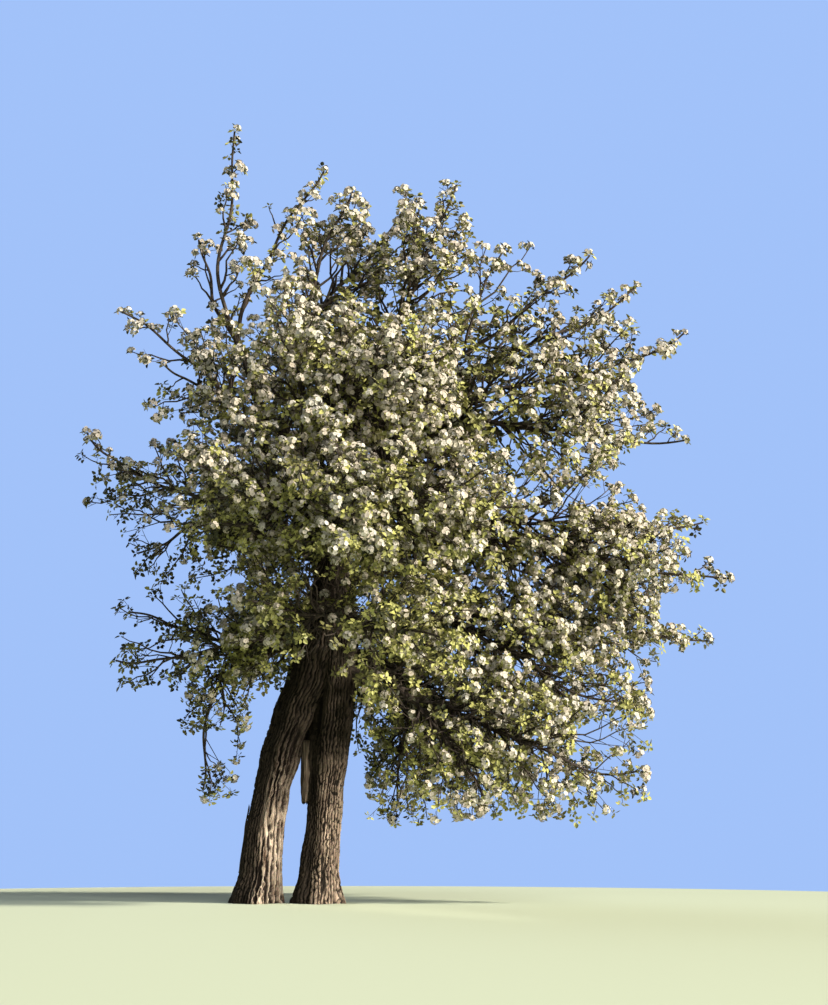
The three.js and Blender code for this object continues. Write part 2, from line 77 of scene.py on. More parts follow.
# The studio: a warm sun from the upper right front, a wide cool light from the front, a low
# one from the right and a near one that lights the trunk under the crown, and a wide one from
# behind. The camera alone sees the pale blue backdrop, and a weak fill comes from all round.
WARM = (1.0, 0.91, 0.78)
COOL = (0.92, 0.95, 1.0)
BLUISH = (0.70, 0.79, 1.0)
SOFT_EDGE = 0.6
FILL_STRENGTH = 0.035
BACKDROP_COLOUR = (0.36, 0.54, 0.95)
BACKDROP_STRENGTH = 1.0


def lamp(name, light, strength, colour, toward):
    """Hangs up a light of a strength and colour, so turned that it shines from toward."""
    light.energy = strength
    light.color = colour
    hung = bpy.data.objects.new(name, light)
    hung.rotation_euler = Vector(toward).to_track_quat("Z", "Y").to_euler()
    bpy.context.scene.collection.objects.link(hung)
    return hung


def far_light(name, toward, strength, width, colour):
    """A light from far off in one direction, that looks width degrees wide."""
    light = bpy.data.lights.new(name, "SUN")
    light.angle = math.radians(width)
    lamp(name, light, strength, colour, toward)


def near_light(name, place, aim, power, radius, cone, colour):
    """A soft-edged light at a place, aimed at another, that the camera doesn't see."""
    light = bpy.data.lights.new(name, "SPOT")
    light.shadow_soft_size = radius
    light.spot_size = math.radians(cone)
    light.spot_blend = SOFT_EDGE
    hung = lamp(name, light, power, colour, Vector(place) - Vector(aim))
    hung.location = place
    hung.visible_camera = False


def set_inputs(tree, node, inputs):
    """Gives a node's inputs their numbers and colours, or links them to other nodes' outputs."""
    for name, given in inputs.items():
        if isinstance(given, bpy.types.NodeSocket):
            tree.links.new(given, node.inputs[name])
        else:
            node.inputs[name].default_value = given


def add_node(tree, kind, inputs, **settings):
    """A new shader node with its settings and inputs."""
    node = tree.nodes.new(f"ShaderNode{kind}")
    for name, setting in settings.items():
        setattr(node, name, setting)
    set_inputs(tree, node, inputs)
    return node


far_light("sun", toward=(0.84, -0.44, 0.62), strength=5.9, width=5, colour=WARM)
far_light("low_light", toward=(0.90, -0.44, 0.035), strength=2.6, width=8, colour=WARM)
near_light(
    "trunk_light", place=(3.5, -5.7, 0.60), aim=(-0.15, 0.0, 0.50), power=1980, radius=0.3,
    cone=18, colour=WARM,
)
far_light("front_light", toward=(0.45, -0.85, 0.75), strength=1.5, width=35, colour=COOL)
far_light("back_light", toward=(-0.7, 0.9, 0.8), strength=1.0, width=50, colour=BLUISH)

world = bpy.data.worlds.new("backdrop")
bpy.context.scene.world = world
world.use_nodes = True
around = world.node_tree
fill = around.nodes["Background"]
set_inputs(around, fill, {"Color": (*BLUISH, 1), "Strength": FILL_STRENGTH})
backdrop = add_node(
    around, "Background", {"Color": (*BACKDROP_COLOUR, 1), "Strength": BACKDROP_STRENGTH}
)
seen = add_node(around, "LightPath", {})
either = add_node(around, "MixShader", {
    0: seen.outputs["Is Camera Ray"], 1: fill.outputs[0], 2: backdrop.outputs[0],
})
set_inputs(around, around.nodes["World Output"], {"Surface": either.outputs[0]})

# The floor is plain and pale, and domed so gently that it is level under the tree and its
# edge lies just behind the foot of the trunk.
FLOOR_ROUNDNESS = 289.0
FLOOR_REACH = 90.0
FLOOR_COLOUR = (0.50, 0.56, 0.40)
FLOOR_RINGS, FLOOR_SPOKES = 40, 96


def mesh_piece(name, corners, faces, material, smooth=False):
    """A mesh object at the origin. corners is an array of places, faces one of corner numbers
    with the same number of corners to each face."""
    mesh = bpy.data.meshes.new(name)
    count, sides = faces.shape
    mesh.vertices.add(len(corners))
    mesh.vertices.foreach_set("co", np.ascontiguousarray(corners, dtype=np.float32).ravel())
    mesh.loops.add(count * sides)
    mesh.loops.foreach_set("vertex_index", np.ascontiguousarray(faces, dtype=np.int32).ravel())
    mesh.polygons.add(count)
    mesh.polygons.foreach_set("loop_start", np.arange(count, dtype=np.int32) * sides)
    mesh.polygons.foreach_set("use_smooth", np.full(count, smooth))
    mesh.update(calc_edges=True)
    mesh.validate()
    mesh.materials.append(material)
    piece = bpy.data.objects.new(name, mesh)
    bpy.context.scene.collection.objects.link(piece)
    return piece


def new_material(name, inputs):
    """A material whose own shader takes the inputs."""
    material = bpy.data.materials.new(name)
    material.use_nodes = True
    set_inputs(material.node_tree, material.node_tree.nodes["Principled BSDF"], inputs)
    return material


def plain_material(name, colour, roughness):
    """A material of one base colour all over."""
    return new_material(name, {"Base Color": (*colour, 1), "Roughness": roughness})


def floor_dome(rings, spokes):
    """The floor as rings about the foot: the height falls by the square of the distance over
    twice the roundness. A fan closes the innermost ring."""
    reach = FLOOR_REACH * np.linspace(0, 1, rings + 1)[1:] ** 2
    angle = np.arange(spokes) * 2 * np.pi / spokes
    x = np.outer(reach, np.cos(angle))
    y = np.outer(reach, np.sin(angle))
    z = -(x ** 2 + y ** 2) / (2 * FLOOR_ROUNDNESS)
    corners = np.vstack([np.stack([x, y, z], axis=-1).reshape(-1, 3), [[0, 0, 0]]])
    a = np.arange((rings - 1) * spokes)
    b = a - a % spokes + (a + 1) % spokes
    first = np.arange(spokes)
    faces = np.vstack([
        np.stack([a, a + spokes, b + spokes], axis=-1),
        np.stack([a, b + spokes, b], axis=-1),
        np.stack([first, (first + 1) % spokes, np.full(spokes, rings * spokes)], axis=-1),
    ])
    return corners, faces


floor_corners, floor_faces = floor_dome(FLOOR_RINGS, FLOOR_SPOKES)
floor_material = plain_material("pale_floor", FLOOR_COLOUR, 0.95)
mesh_piece("floor", floor_corners, floor_faces, floor_material, smooth=True)

# The trunk is old, hollow and split: two legs lean together and have grown into one above
# head height. Each leg is an oval column of wood with ribs that spread into root flares,
# and its bark has cracked into upright plates. The sizes are the CAD model's, in metres.
TRUNK_TOP = 4.45
FLARE_HEIGHT = 0.17
FLARE_REACH = 0.2
RIB_DEPTH, RIB_TURN = 0.055, 0.9
KNOT_DEPTH, KNOT_TURN = 0.035, 0.52
OLD_WOOD_FROM, OLD_WOOD_TOP = 2.4, 4.0
LEFT_LEG = np.array([
    [0.000, -0.630, 0.240, 0.290],
    [0.340, -0.574, 0.198, 0.250],
    [0.740, -0.535, 0.184, 0.235],
    [1.130, -0.462, 0.180, 0.235],
    [1.450, -0.372, 0.208, 0.245],
    [1.920, -0.206, 0.246, 0.260],
    [2.250, -0.082, 0.250, 0.262],
    [2.900, 0.070, 0.206, 0.222],
    [3.500, 0.160, 0.160, 0.178],
    [4.100, 0.212, 0.122, 0.140],
])
RIGHT_LEG = np.array([
    [0.000, 0.000, 0.250, 0.300],
    [0.340, 0.012, 0.210, 0.255],
    [0.740, 0.051, 0.181, 0.235],
    [1.130, 0.066, 0.190, 0.235],
    [1.450, 0.084, 0.212, 0.245],
    [1.920, 0.140, 0.208, 0.255],
    [2.250, 0.172, 0.202, 0.250],
    [2.900, 0.172, 0.178, 0.215],
    [3.600, 0.200, 0.146, 0.165],
    [TRUNK_TOP, 0.236, 0.104, 0.112],
])
LEG_RINGS = 330
LEG_SIDES = 230
RINGS_TO_FOOT = 1.15
LEGS_JOIN = (3.0, 4.1)
PLATES_ROUND = 39
PLATE_HEIGHT = 0.115
PLATE_DEPTH = 0.025
PLATE_WAVES = ((1.2, 8, 0.45, 0), (0.9, 22, 0.17, 5), (0.6, 60, 0.035, 7))
GROOVES_ROUND = 24
GROOVE_DEPTH = 0.040
GROOVE_TURN = 1.2
GROOVE_WAVES = ((1.5, 7, 0.80, 0), (0.7, 26, 0.30, 3), (0.5, 70, 0.05, 4))
ROUGH_WAVES = ((0.006, 60, 0.022, 60),)
SWELL_WAVES = ((0.018, 6, 0.30, 80),)
SKIN_SINK = 0.004
# The cracks' darkness is their own dark with painted shade in them.
CRACK_AND_SHADE_CONTRAST = 1.9
# Painted shade: the legs darken up toward the crown, whose shade falls there.
HIGH_PAINTED_SHADE, HIGH_PAINTED_SHADE_HEIGHTS = 0.90, (0.65, 1.65)
# Painted shade: the legs' left sides, away from the light, are darkened.
LEFT_PAINTED_SHADE, LEFT_PAINTED_SHADE_SPAN = 0.94, (-0.30, 0.50)
# Painted shade in the dents.
DENT_PAINTED_SHADE = (0.25, 0.8)


def chance(seed):
    """A number from 0 to 1, always the same for the same seed: what is left after the point
    of a large multiple of the seed's sine."""
    wave = np.sin(np.asarray(seed, dtype=float) * 12.9898 + 4.1414) * 43758.5453
    return wave - np.floor(wave)


def smooth_step(x, low, high):
    """0 up to low, 1 from high on, and 3t^2 - 2t^3 between."""
    t = np.clip((x - low) / (high - low), 0, 1)
    return t * t * (3 - 2 * t)


def patches(u, v, seed, cells_round=0):
    """Soft patches from 0 to 1: chance at the corners of a unit lattice, blended between them
    by the smooth step. With cells_round the lattice closes on itself along u."""
    iu, iv = np.floor(u), np.floor(v)
    tu, tv = smooth_step(u - iu, 0, 1), smooth_step(v - iv, 0, 1)

    def corner(a, b):
        column = (iu + a) % cells_round if cells_round else iu + a
        return chance(column * 17.31 + (iv + b) * 113.7 + seed)

    near = corner(0, 0) * (1 - tu) + corner(1, 0) * tu
    far = corner(0, 1) * (1 - tu) + corner(1, 1) * tu
    return near * (1 - tv) + far * tv


def wavering(round_share, z, seed, waves):
    """The sum of soft patches about nought. A wave has its size, its number of patches round
    the leg, how tall they are, and its own seed."""
    return sum(
        size * (patches(round_share * count, z / tall, seed + own, count) - 0.5)
        for size, count, tall, own in waves
    )


def leg_at(leg, z):
    """The middle's x, half the width and half the depth of a leg at heights z. Between two
    stations it is the mean of the straight line and the smooth step."""
    i = np.clip(np.searchsorted(leg[:, 0], z, side="right") - 1, 0, len(leg) - 2)
    low, high = leg[i], leg[i + 1]
    straight = np.clip((z - low[..., 0]) / (high[..., 0] - low[..., 0]), 0, 1)
    t = (straight + straight * straight * (3 - 2 * straight)) / 2
    return [low[..., k] + (high[..., k] - low[..., k]) * t for k in (1, 2, 3)]


def trunk_middle(z):
    """The trunk's middle at heights z: half way between the legs, and the right leg's own
    middle above them."""
    left = leg_at(LEFT_LEG, np.minimum(z, LEFT_LEG[-1, 0]))[0]
    right = leg_at(RIGHT_LEG, z)[0]
    share = smooth_step(z, *LEGS_JOIN)
    x = (left + right) / 2 * (1 - share) + right * share
    return np.stack([x, np.zeros_like(x), z + np.zeros_like(x)], axis=-1)


def edge_share(u):
    """How near u is to the border between two whole numbers: 0 half way, 1 on it."""
    return np.abs((u % 1) - 0.5) * 2


def bark_plates(round_share, z, seed):
    """Plates of cracked bark, as how deep the crack is from 0 to 1. Upright cracks follow the
    borders of a wavering count round the leg, and in each upright row level cracks come at
    that row's own spacing."""
    waver = wavering(round_share, z, seed, PLATE_WAVES)
    u = round_share * PLATES_ROUND + waver
    row = np.floor(u) % PLATES_ROUND
    height = PLATE_HEIGHT * (0.5 + 1.1 * chance(row + seed))
    v = z / height + 7 * chance(row + seed + 0.5) + 0.8 * waver
    strength = 0.55 + 0.75 * patches(round_share * 17, z / 0.11, seed + 8, 17)
    upright = smooth_step(edge_share(u), 0.30, 0.95) * strength
    level = 0.6 * smooth_step(edge_share(v), 0.66, 1.0) * strength
    fine = 0.4 * smooth_step(edge_share(u * 2.3 + 0.4), 0.5, 1.0) * strength
    return np.clip(np.maximum(np.maximum(upright, level), fine), 0, 1)


def wood_grooves(round_share, z, seed):
    """The long furrows of bare weathered wood, as depth from 0 to 1: borders of a count round
    the leg that turns slowly with height, deep where slow patches say so."""
    u = round_share * GROOVES_ROUND + wavering(round_share, z, seed, GROOVE_WAVES) + GROOVE_TURN * z
    depth = smooth_step(edge_share(u), 0.34, 0.88)
    fine = 0.5 * smooth_step(edge_share(u * 2.7 + 0.3), 0.55, 1.0)
    strength = -0.05 + 1.9 * patches(round_share * 13, z / 0.42, seed + 9, 13)
    return np.clip(np.maximum(depth, fine) * strength, 0, 1)


def leg_surface(leg, ribs, phase, bare_share, dents, seed):
    """One leg as a closed mesh. A ring at each height is an oval, made larger by ribs, slow
    knots and root flares as in the CAD model, then cut in by the bark's cracks, the bare
    wood's furrows and the dents. Returns corners, faces, how dark each corner is, and the
    share of bare wood there. The darkness is the cracks' own dark with painted shade in
    them, painted shade in the dents, and painted shade that grows up the leg toward the
    crown and toward its left, away from the light."""
    height = leg[-1, 0] * (np.arange(LEG_RINGS + 1) / LEG_RINGS) ** RINGS_TO_FOOT
    turn = np.arange(LEG_SIDES) * 2 * np.pi / LEG_SIDES
    z, a = np.meshgrid(height, turn, indexing="ij")
    round_share = a / (2 * np.pi)
    x, half_width, half_depth = leg_at(leg, z)
    age = 1 - smooth_step(z, OLD_WOOD_FROM, OLD_WOOD_TOP)
    rib = np.cos(ribs * a + phase + z / RIB_TURN) * RIB_DEPTH * age
    knot = np.cos(2 * a + phase * 2 - z / KNOT_TURN) * KNOT_DEPTH
    lobes = np.maximum(0, np.cos((ribs - 1) * a + phase))
    root = np.exp(-z / FLARE_HEIGHT) * FLARE_REACH * lobes
    grow = 1 + rib + knot + root
    bare = bare_share(a, z)
    cracks = bark_plates(round_share, z, seed)
    furrows = wood_grooves(round_share, z, seed + 40)
    # The cracks and furrows darken the colour: their own dark, with painted shade in them.
    depth = np.minimum(1, CRACK_AND_SHADE_CONTRAST * (cracks * (1 - bare) + furrows * bare))
    cut = cracks * (1 - bare) * PLATE_DEPTH * (0.45 + 0.55 * age) + furrows * bare * GROOVE_DEPTH
    for where, how_high, wide, tall, deep in dents:
        off = (a - math.radians(where) + np.pi) % (2 * np.pi) - np.pi
        dent = np.exp(-(off / wide) ** 2 - ((z - how_high) / tall) ** 2)
        cut = cut + dent * deep
        # Painted shade: each dent is darkened where shade falls into it.
        depth = np.maximum(depth, smooth_step(dent, *DENT_PAINTED_SHADE))
    # Painted shade of the crown: darker up the leg.
    depth = np.maximum(depth, HIGH_PAINTED_SHADE * smooth_step(z, *HIGH_PAINTED_SHADE_HEIGHTS))
    # Painted shade on the left side, away from the light.
    depth = np.maximum(depth, LEFT_PAINTED_SHADE * smooth_step(-np.cos(a), *LEFT_PAINTED_SHADE_SPAN))
    rough = wavering(round_share, z, seed, ROUGH_WAVES)
    swell = wavering(round_share, z, seed, SWELL_WAVES)
    sink = -cut - SKIN_SINK + rough + swell + 0.5 * PLATE_DEPTH * (1 - bare) * age
    px = x + (half_width * grow + sink) * np.cos(a)
    py = (half_depth * grow + sink) * np.sin(a)
    corners = np.stack([px, py, z], axis=-1).reshape(-1, 3)
    return corners, ring_faces(LEG_RINGS + 1, LEG_SIDES), depth.ravel(), bare.ravel()


def ring_faces(rings, sides):
    """The triangles of a tube of rings, lowest first, with a fan over each end."""
    i, k = np.meshgrid(np.arange(rings - 1), np.arange(sides), indexing="ij")
    a = (i * sides + k).ravel()
    b = (i * sides + (k + 1) % sides).ravel()
    fan = np.arange(1, sides - 1)
    zero = np.zeros_like(fan)
    last = (rings - 1) * sides
    return np.concatenate([
        np.stack([a, b, b + sides], axis=-1),
        np.stack([a, b + sides, a + sides], axis=-1),
        np.stack([zero, fan + 1, fan], axis=-1),
        np.stack([zero + last, fan + last, fan + 1 + last], axis=-1),
    ])


def keep_on_corners(piece, name, values):
    """Stores one number for each corner of a piece under a name that its material reads."""
    store = piece.data.attributes.new(name, "FLOAT", "POINT")
    store.data.foreach_set("value", np.ascontiguousarray(values, dtype=np.float32))


STREAK_FLATTENING = 0.16
SPECKLE_SIZE = 140
SPECKLE_SHARE = 0.55
SPECKLE_RISE = 0.35
GREYNESS = 0.9


def mixed(tree, share, first, second, way="MIX"):
    """The output of a node that mixes two colours."""
    node = add_node(tree, "Mix", {0: share, 6: first, 7: second}, data_type="RGBA", blend_type=way)
    return node.outputs[2]


def weathering_group():
    """Streaked old wood: noise drawn out along the height mixes a dark and a light colour, a
    finer noise speckles them, and the mesh's darkness mixes the result toward the crack colour:
    the cracks' own dark with painted shade in them, and painted shade where the mesh holds it.
    It puts out the colour, and a height for the bump."""
    tree = bpy.data.node_groups.new("weathering", "ShaderNodeTree")
    for name, kind in (
        ("Dark", "Color"), ("Light", "Color"), ("Colour of cracks and painted shade", "Color"),
        ("Darkness of cracks and painted shade", "Float"), ("Streak size", "Float"),
    ):
        tree.interface.new_socket(name, in_out="INPUT", socket_type=f"NodeSocket{kind}")
    for name, kind in (("Colour", "Color"), ("Height", "Float")):
        tree.interface.new_socket(name, in_out="OUTPUT", socket_type=f"NodeSocket{kind}")
    given = tree.nodes.new("NodeGroupInput").outputs
    result = tree.nodes.new("NodeGroupOutput")
    place = add_node(tree, "TexCoord", {}).outputs["Object"]
    drawn_out = add_node(tree, "Mapping", {"Vector": place, "Scale": (1, 1, STREAK_FLATTENING)})
    streak = add_node(tree, "TexNoise", {
        "Vector": drawn_out.outputs["Vector"], "Scale": given["Streak size"], "Detail": 6,
        "Roughness": 0.65,
    })
    speckle = add_node(tree, "TexNoise", {"Vector": place, "Scale": SPECKLE_SIZE, "Detail": 3})
    spread = add_node(tree, "MapRange", {
        "Value": streak.outputs["Fac"], "From Min": 0.36, "From Max": 0.66,
    })
    wood = mixed(tree, spread.outputs["Result"], given["Dark"], given["Light"])
    flecked = mixed(tree, SPECKLE_SHARE, wood, speckle.outputs["Color"], "OVERLAY")
    grey = add_node(tree, "HueSaturation", {"Saturation": GREYNESS, "Color": flecked})
    height = add_node(tree, "Math", {
        0: speckle.outputs["Fac"], 1: SPECKLE_RISE, 2: streak.outputs["Fac"],
    }, operation="MULTIPLY_ADD")
    set_inputs(tree, result, {
        "Colour": mixed(tree, given["Darkness of cracks and painted shade"], grey.outputs["Color"], given["Colour of cracks and painted shade"]),
        "Height": height.outputs["Value"],
    })
    return tree


weathering = weathering_group()


def weathered(tree, dark, light, crack, streak_size):
    """One placing of the weathering group with its own colours, darkened as the mesh says by
    cracks and painted shade.
    """
    depth = add_node(tree, "Attribute", {}, attribute_name="crack_and_shade_darkness")
    return add_node(tree, "Group", {
        "Dark": (*dark, 1), "Light": (*light, 1), "Colour of cracks and painted shade": (*crack, 1),
        "Darkness of cracks and painted shade": depth.outputs["Fac"], "Streak size": streak_size,
    }, node_tree=weathering)


def finish_surface(material, colour, height, bump_strength, bump_depth):
    """Gives a material its colour, and a bump from the height."""
    tree = material.node_tree
    bump = add_node(tree, "Bump", {
        "Strength": bump_strength, "Distance": bump_depth, "Height": height,
    })
    set_inputs(tree, tree.nodes["Principled BSDF"], {
        "Base Color": colour, "Normal": bump.outputs["Normal"],
    })


# The crack colours are nearly black: the cracks' own dark with painted shade. They are also the
# colour of the painted shade on the legs.
BARK_DARK = (0.080, 0.052, 0.034)
BARK_LIGHT = (0.56, 0.420, 0.300)
BARK_CRACK_AND_SHADE = (0.007, 0.005, 0.003)
BARK_STREAKS = 16
BARE_DARK = (0.085, 0.050, 0.030)
BARE_LIGHT = (0.455, 0.372, 0.280)
BARE_CRACK_AND_SHADE = (0.010, 0.006, 0.004)
BARE_STREAKS = 22
BARE_FRAY = ((0.55, 12, 0.16, 0),)
BARE_UP_TO = (1.62, 1.95)
STRIP_FROM, STRIP_UP_TO = (0.9, 1.1), (1.3, 1.5)


def trunk_material():
    """Bark and bare wood in one material: the share of bare wood and the darkness of the cracks
    with their painted shade come from the mesh, the streaks and the bump from the weathering group."""
    material = new_material(
        "trunk_bark_and_bare_wood", {"Roughness": 0.93, "Specular IOR Level": 0.2}
    )
    tree = material.node_tree
    bare = add_node(tree, "Attribute", {}, attribute_name="bare_wood")
    bark = weathered(tree, BARK_DARK, BARK_LIGHT, BARK_CRACK_AND_SHADE, BARK_STREAKS).outputs
    wood = weathered(tree, BARE_DARK, BARE_LIGHT, BARE_CRACK_AND_SHADE, BARE_STREAKS).outputs
    both = mixed(tree, bare.outputs["Fac"], bark["Colour"], wood["Colour"])
    finish_surface(material, both, bark["Height"], bump_strength=0.9, bump_depth=0.012)
    return material


def bare_on_left(angle, z):
    """Where the left leg has lost its bark: its front and its right side, up to the fork, with
    a frayed border."""
    toward = np.cos(angle + math.radians(30))
    fray = wavering(angle / (2 * np.pi), z, 3.0, BARE_FRAY)
    side = smooth_step(toward + fray, 0.05, 0.45)
    return side * (1 - smooth_step(z + 0.3 * fray, *BARE_UP_TO))


def bare_on_right(angle, z):
    """The right leg keeps its bark, but for a worn strip inside the split."""
    strip = smooth_step(np.cos(angle - math.pi), 0.75, 0.95)
    return strip * smooth_step(z, *STRIP_FROM) * (1 - smooth_step(z, *STRIP_UP_TO))


# A dent's bearing in degrees, how high it is, its width as an angle, its height and its depth.
LEFT_DENTS = [
    (-72, 0.76, 0.15, 0.05, 0.045),
    (-60, 0.67, 0.13, 0.04, 0.045),
    (-80, 0.90, 0.10, 0.06, 0.022),
    (-35, 1.05, 0.16, 0.16, 0.024),
    (-20, 1.70, 0.30, 0.10, 0.034),
    (-100, 0.28, 0.12, 0.20, 0.020),
    (-30, 1.95, 0.20, 0.36, 0.050),
]
RIGHT_DENTS = [
    (-140, 1.15, 0.30, 0.30, 0.020),
    (-75, 0.25, 0.14, 0.20, 0.016),
    (-20, 0.18, 0.14, 0.16, 0.016),
    (-138, 1.85, 0.26, 0.42, 0.060),
]

bark_material = trunk_material()
for leg_name, leg, ribs, phase, bare_share, dents, seed in (
    ("trunk_left_leg", LEFT_LEG, 5, 0.6, bare_on_left, LEFT_DENTS, 11.0),
    ("trunk_right_leg", RIGHT_LEG, 6, 2.1, bare_on_right, RIGHT_DENTS, 23.0),
):
    corners, faces, depth, bare = leg_surface(leg, ribs, phase, bare_share, dents, seed)
    leg_piece = mesh_piece(leg_name, corners, faces, bark_material, smooth=True)
    keep_on_corners(leg_piece, "crack_and_shade_darkness", depth)
    keep_on_corners(leg_piece, "bare_wood", bare)
    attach(leg_piece, "root")
    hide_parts("trunk")

# The broken shell is a tongue of dead wood that hangs from the fork beside the split, and a
# thin splinter stands off the outer edge of the left leg.
SHELL_TOP, SHELL_FOOT = 1.64, 1.02
SHELL_X, SHELL_LEAN = -0.116, 0.006
SHELL_HALF_WIDTH, SHELL_HALF_DEPTH = 0.070, 0.120
SHELL_GRID = (26, 40)
SHELL_BARENESS = 0.4
SPLINTER_FOOT, SPLINTER_TOP = 0.30, 0.96
SPLINTER_HALF_WIDTH, SPLINTER_HALF_DEPTH = 0.018, 0.055
SPLINTER_LEAN = 0.022
SPLINTER_GRID = (22, 20)
TONGUE_DARKEST = 0.8


def wood_tongue(grid, middle, half_width, half_depth, frayed_end, seed):
    """A flat strip of wood as a closed mesh of a grid's rings and sides: ovals about a rising
    middle line, cut in by broad and fine grooves that are cosines of 9 and 17 turns to the
    round, with an end at frayed_end (0 the foot, 1 the top) that is broken unevenly."""
    rings, sides = grid
    share = np.linspace(0, 1, rings)[:, None]
    a = (np.arange(sides) * 2 * np.pi / sides)[None, :]
    x, z = middle(share)
    groove = 0.10 * np.cos(9 * a + seed + 4 * share) + 0.06 * np.cos(17 * a - 7 * share)
    grow = 1 - np.abs(groove)
    uneven = 0.07 * (chance(np.arange(sides) * 1.7 + seed)[None, :] - 0.5)
    fray = np.exp(-((share - frayed_end) / 0.12) ** 2) * uneven
    px = x + half_width(share) * grow * np.cos(a)
    py = half_depth(share) * grow * np.sin(a)
    corners = np.stack([px, py, z + fray + 0 * a], axis=-1).reshape(-1, 3)
    # How dark each corner is: an even part, and more in the grooves, their own dark with painted
    # shade in them.
    return corners, ring_faces(rings, sides), 0.45 + np.abs(groove).ravel() * 5


def shell_middle(share):
    """The shell's middle line: straight, leaning a little."""
    return SHELL_X + SHELL_LEAN * share, SHELL_FOOT + (SHELL_TOP - SHELL_FOOT) * share


def splinter_middle(share):
    """The splinter's middle line: along the left leg's edge, leaning away from it."""
    z = SPLINTER_FOOT + (SPLINTER_TOP - SPLINTER_FOOT) * share
    x, half_width, _ = leg_at(LEFT_LEG, z)
    return x - half_width * (1.05 - 0.02 * share) - SPLINTER_LEAN * share, z


shell = wood_tongue(
    SHELL_GRID, shell_middle,
    lambda share: SHELL_HALF_WIDTH * (0.86 + 0.14 * smooth_step(share, 0, 0.3)),
    lambda share: SHELL_HALF_DEPTH * (0.60 + 0.40 * smooth_step(share, 0, 0.6)),
    frayed_end=0.0, seed=1.3,
)
splinter = wood_tongue(
    SPLINTER_GRID, splinter_middle,
    lambda share: SPLINTER_HALF_WIDTH * (1.05 - 0.75 * share),
    lambda share: SPLINTER_HALF_DEPTH * (1.1 - 0.6 * share),
    frayed_end=1.0, seed=4.1,
)
for wood_name, (corners, faces, depth), bare in (
    ("broken_shell", shell, SHELL_BARENESS),
    ("left_splinter", splinter, 0.0),
):
    wood_piece = mesh_piece(wood_name, corners, faces, bark_material, smooth=True)
    keep_on_corners(wood_piece, "crack_and_shade_darkness", np.clip(depth, 0, TONGUE_DARKEST))
    keep_on_corners(wood_piece, "bare_wood", np.full(len(corners), bare))
    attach(wood_piece, "root")
    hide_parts("trunk")

# The boughs are the bare inner limbs. Each leaves the trunk's middle, bends out along a
# crooked line and thins to its tip. Their bark is furrowed lengthwise. A row gives the
# height where it leaves the trunk, its tip's bearing, reach and height, the slopes in
# degrees at which it starts and ends, its two diameters, and its number of inner shoots.
Bough = namedtuple("Bough", "name leaves bearing reach height rise turn thick thin shoots")
BOUGHS = [
    Bough("left_leader", 4.18, 180, 0.860, 5.78, 38, 76, 0.150, 0.078, 6),
    Bough("middle_leader", 4.43, 152, 0.090, 5.70, 88, 70, 0.176, 0.092, 22),
    Bough("right_leader", 4.26, 345, 0.640, 5.56, 46, 66, 0.150, 0.080, 66),
    Bough("high_right", 3.88, 5, 1.180, 5.33, 54, 44, 0.155, 0.084, 48),
    Bough("upper_right", 3.60, 350, 1.330, 4.88, 30, 22, 0.145, 0.080, 50),
    Bough("right", 3.18, 9, 1.350, 3.76, 30, 8, 0.150, 0.084, 52),
    Bough("lower_right", 2.76, 4, 1.420, 2.85, 20, -14, 0.140, 0.078, 38),
    Bough("drooping_right", 2.38, 343, 1.060, 2.01, 6, -34, 0.130, 0.072, 26),
    Bough("low_back_right", 2.52, 42, 1.060, 2.33, 10, -26, 0.120, 0.068, 22),
    Bough("upper_left", 3.82, 186, 0.800, 4.96, 44, 52, 0.135, 0.072, 16),
    Bough("left", 3.38, 174, 0.980, 3.96, 36, 10, 0.135, 0.074, 46),
    Bough("lower_left", 2.64, 180, 0.800, 2.56, 8, -12, 0.120, 0.066, 54),
    Bough("front_upper", 3.98, 272, 0.960, 4.80, 50, 34, 0.140, 0.076, 28),
    Bough("front", 3.42, 274, 1.130, 3.85, 28, 10, 0.145, 0.080, 28),
    Bough("front_low", 2.82, 281, 0.900, 2.86, 14, -14, 0.120, 0.066, 28),
    Bough("back_upper", 3.90, 84, 0.980, 4.78, 48, 32, 0.140, 0.076, 18),
    Bough("back", 3.30, 92, 1.130, 3.77, 30, 8, 0.145, 0.080, 20),
    Bough("back_low", 2.70, 100, 0.950, 2.72, 12, -16, 0.120, 0.066, 20),
]
BOUGH_CROOK = 0.035
TAPER = 0.85
LEAVES_ALONG, ARRIVES_ALONG = 0.36, 0.32
BOUGH_RINGS = 56
BOUGH_SIDES = 26
BOUGH_FURROW = 0.085
FURROWS_ROUND = 9
# The furrows' darkness is their own dark with painted shade in them.
FURROW_DARK_AND_SHADE = 0.8
LIMB_DARK = (0.026, 0.019, 0.015)
LIMB_LIGHT = (0.085, 0.066, 0.050)
LIMB_STREAKS = 30
UP = np.array([0.0, 0.0, 1.0])

# Many limbs at once: each has four bend points, a sway across them with its phase, the
# radii at its two ends, its length, its seed, and the number of the mass that it is in.
Limbs = namedtuple("Limbs", "bend sway phase thick thin length seed mass")


def unit(v):
    """Vectors made one long."""
    return v / np.maximum(np.linalg.norm(v, axis=-1, keepdims=True), 1e-9)


def way(bearing, slope):
    """Unit directions from bearings and slopes in radians."""
    level = np.cos(slope)
    return np.stack([level * np.cos(bearing), level * np.sin(bearing), np.sin(slope)], axis=-1)


def tip_of(row):
    """The tip of a row of the tables as a point."""
    bearing = math.radians(row.bearing)
    return np.array([row.reach * math.cos(bearing), row.reach * math.sin(bearing), row.height])


def bend_points(start, start_way, tip, tip_way):
    """The four bend points of limbs: they leave along start_way and reach the tip along
    tip_way, each over its own share of the run."""
    run = np.linalg.norm(tip - start, axis=-1, keepdims=True)
    leaving = start + LEAVES_ALONG * run * start_way
    arriving = tip - ARRIVES_ALONG * run * tip_way
    return np.stack([start, leaving, arriving, tip], axis=-2)


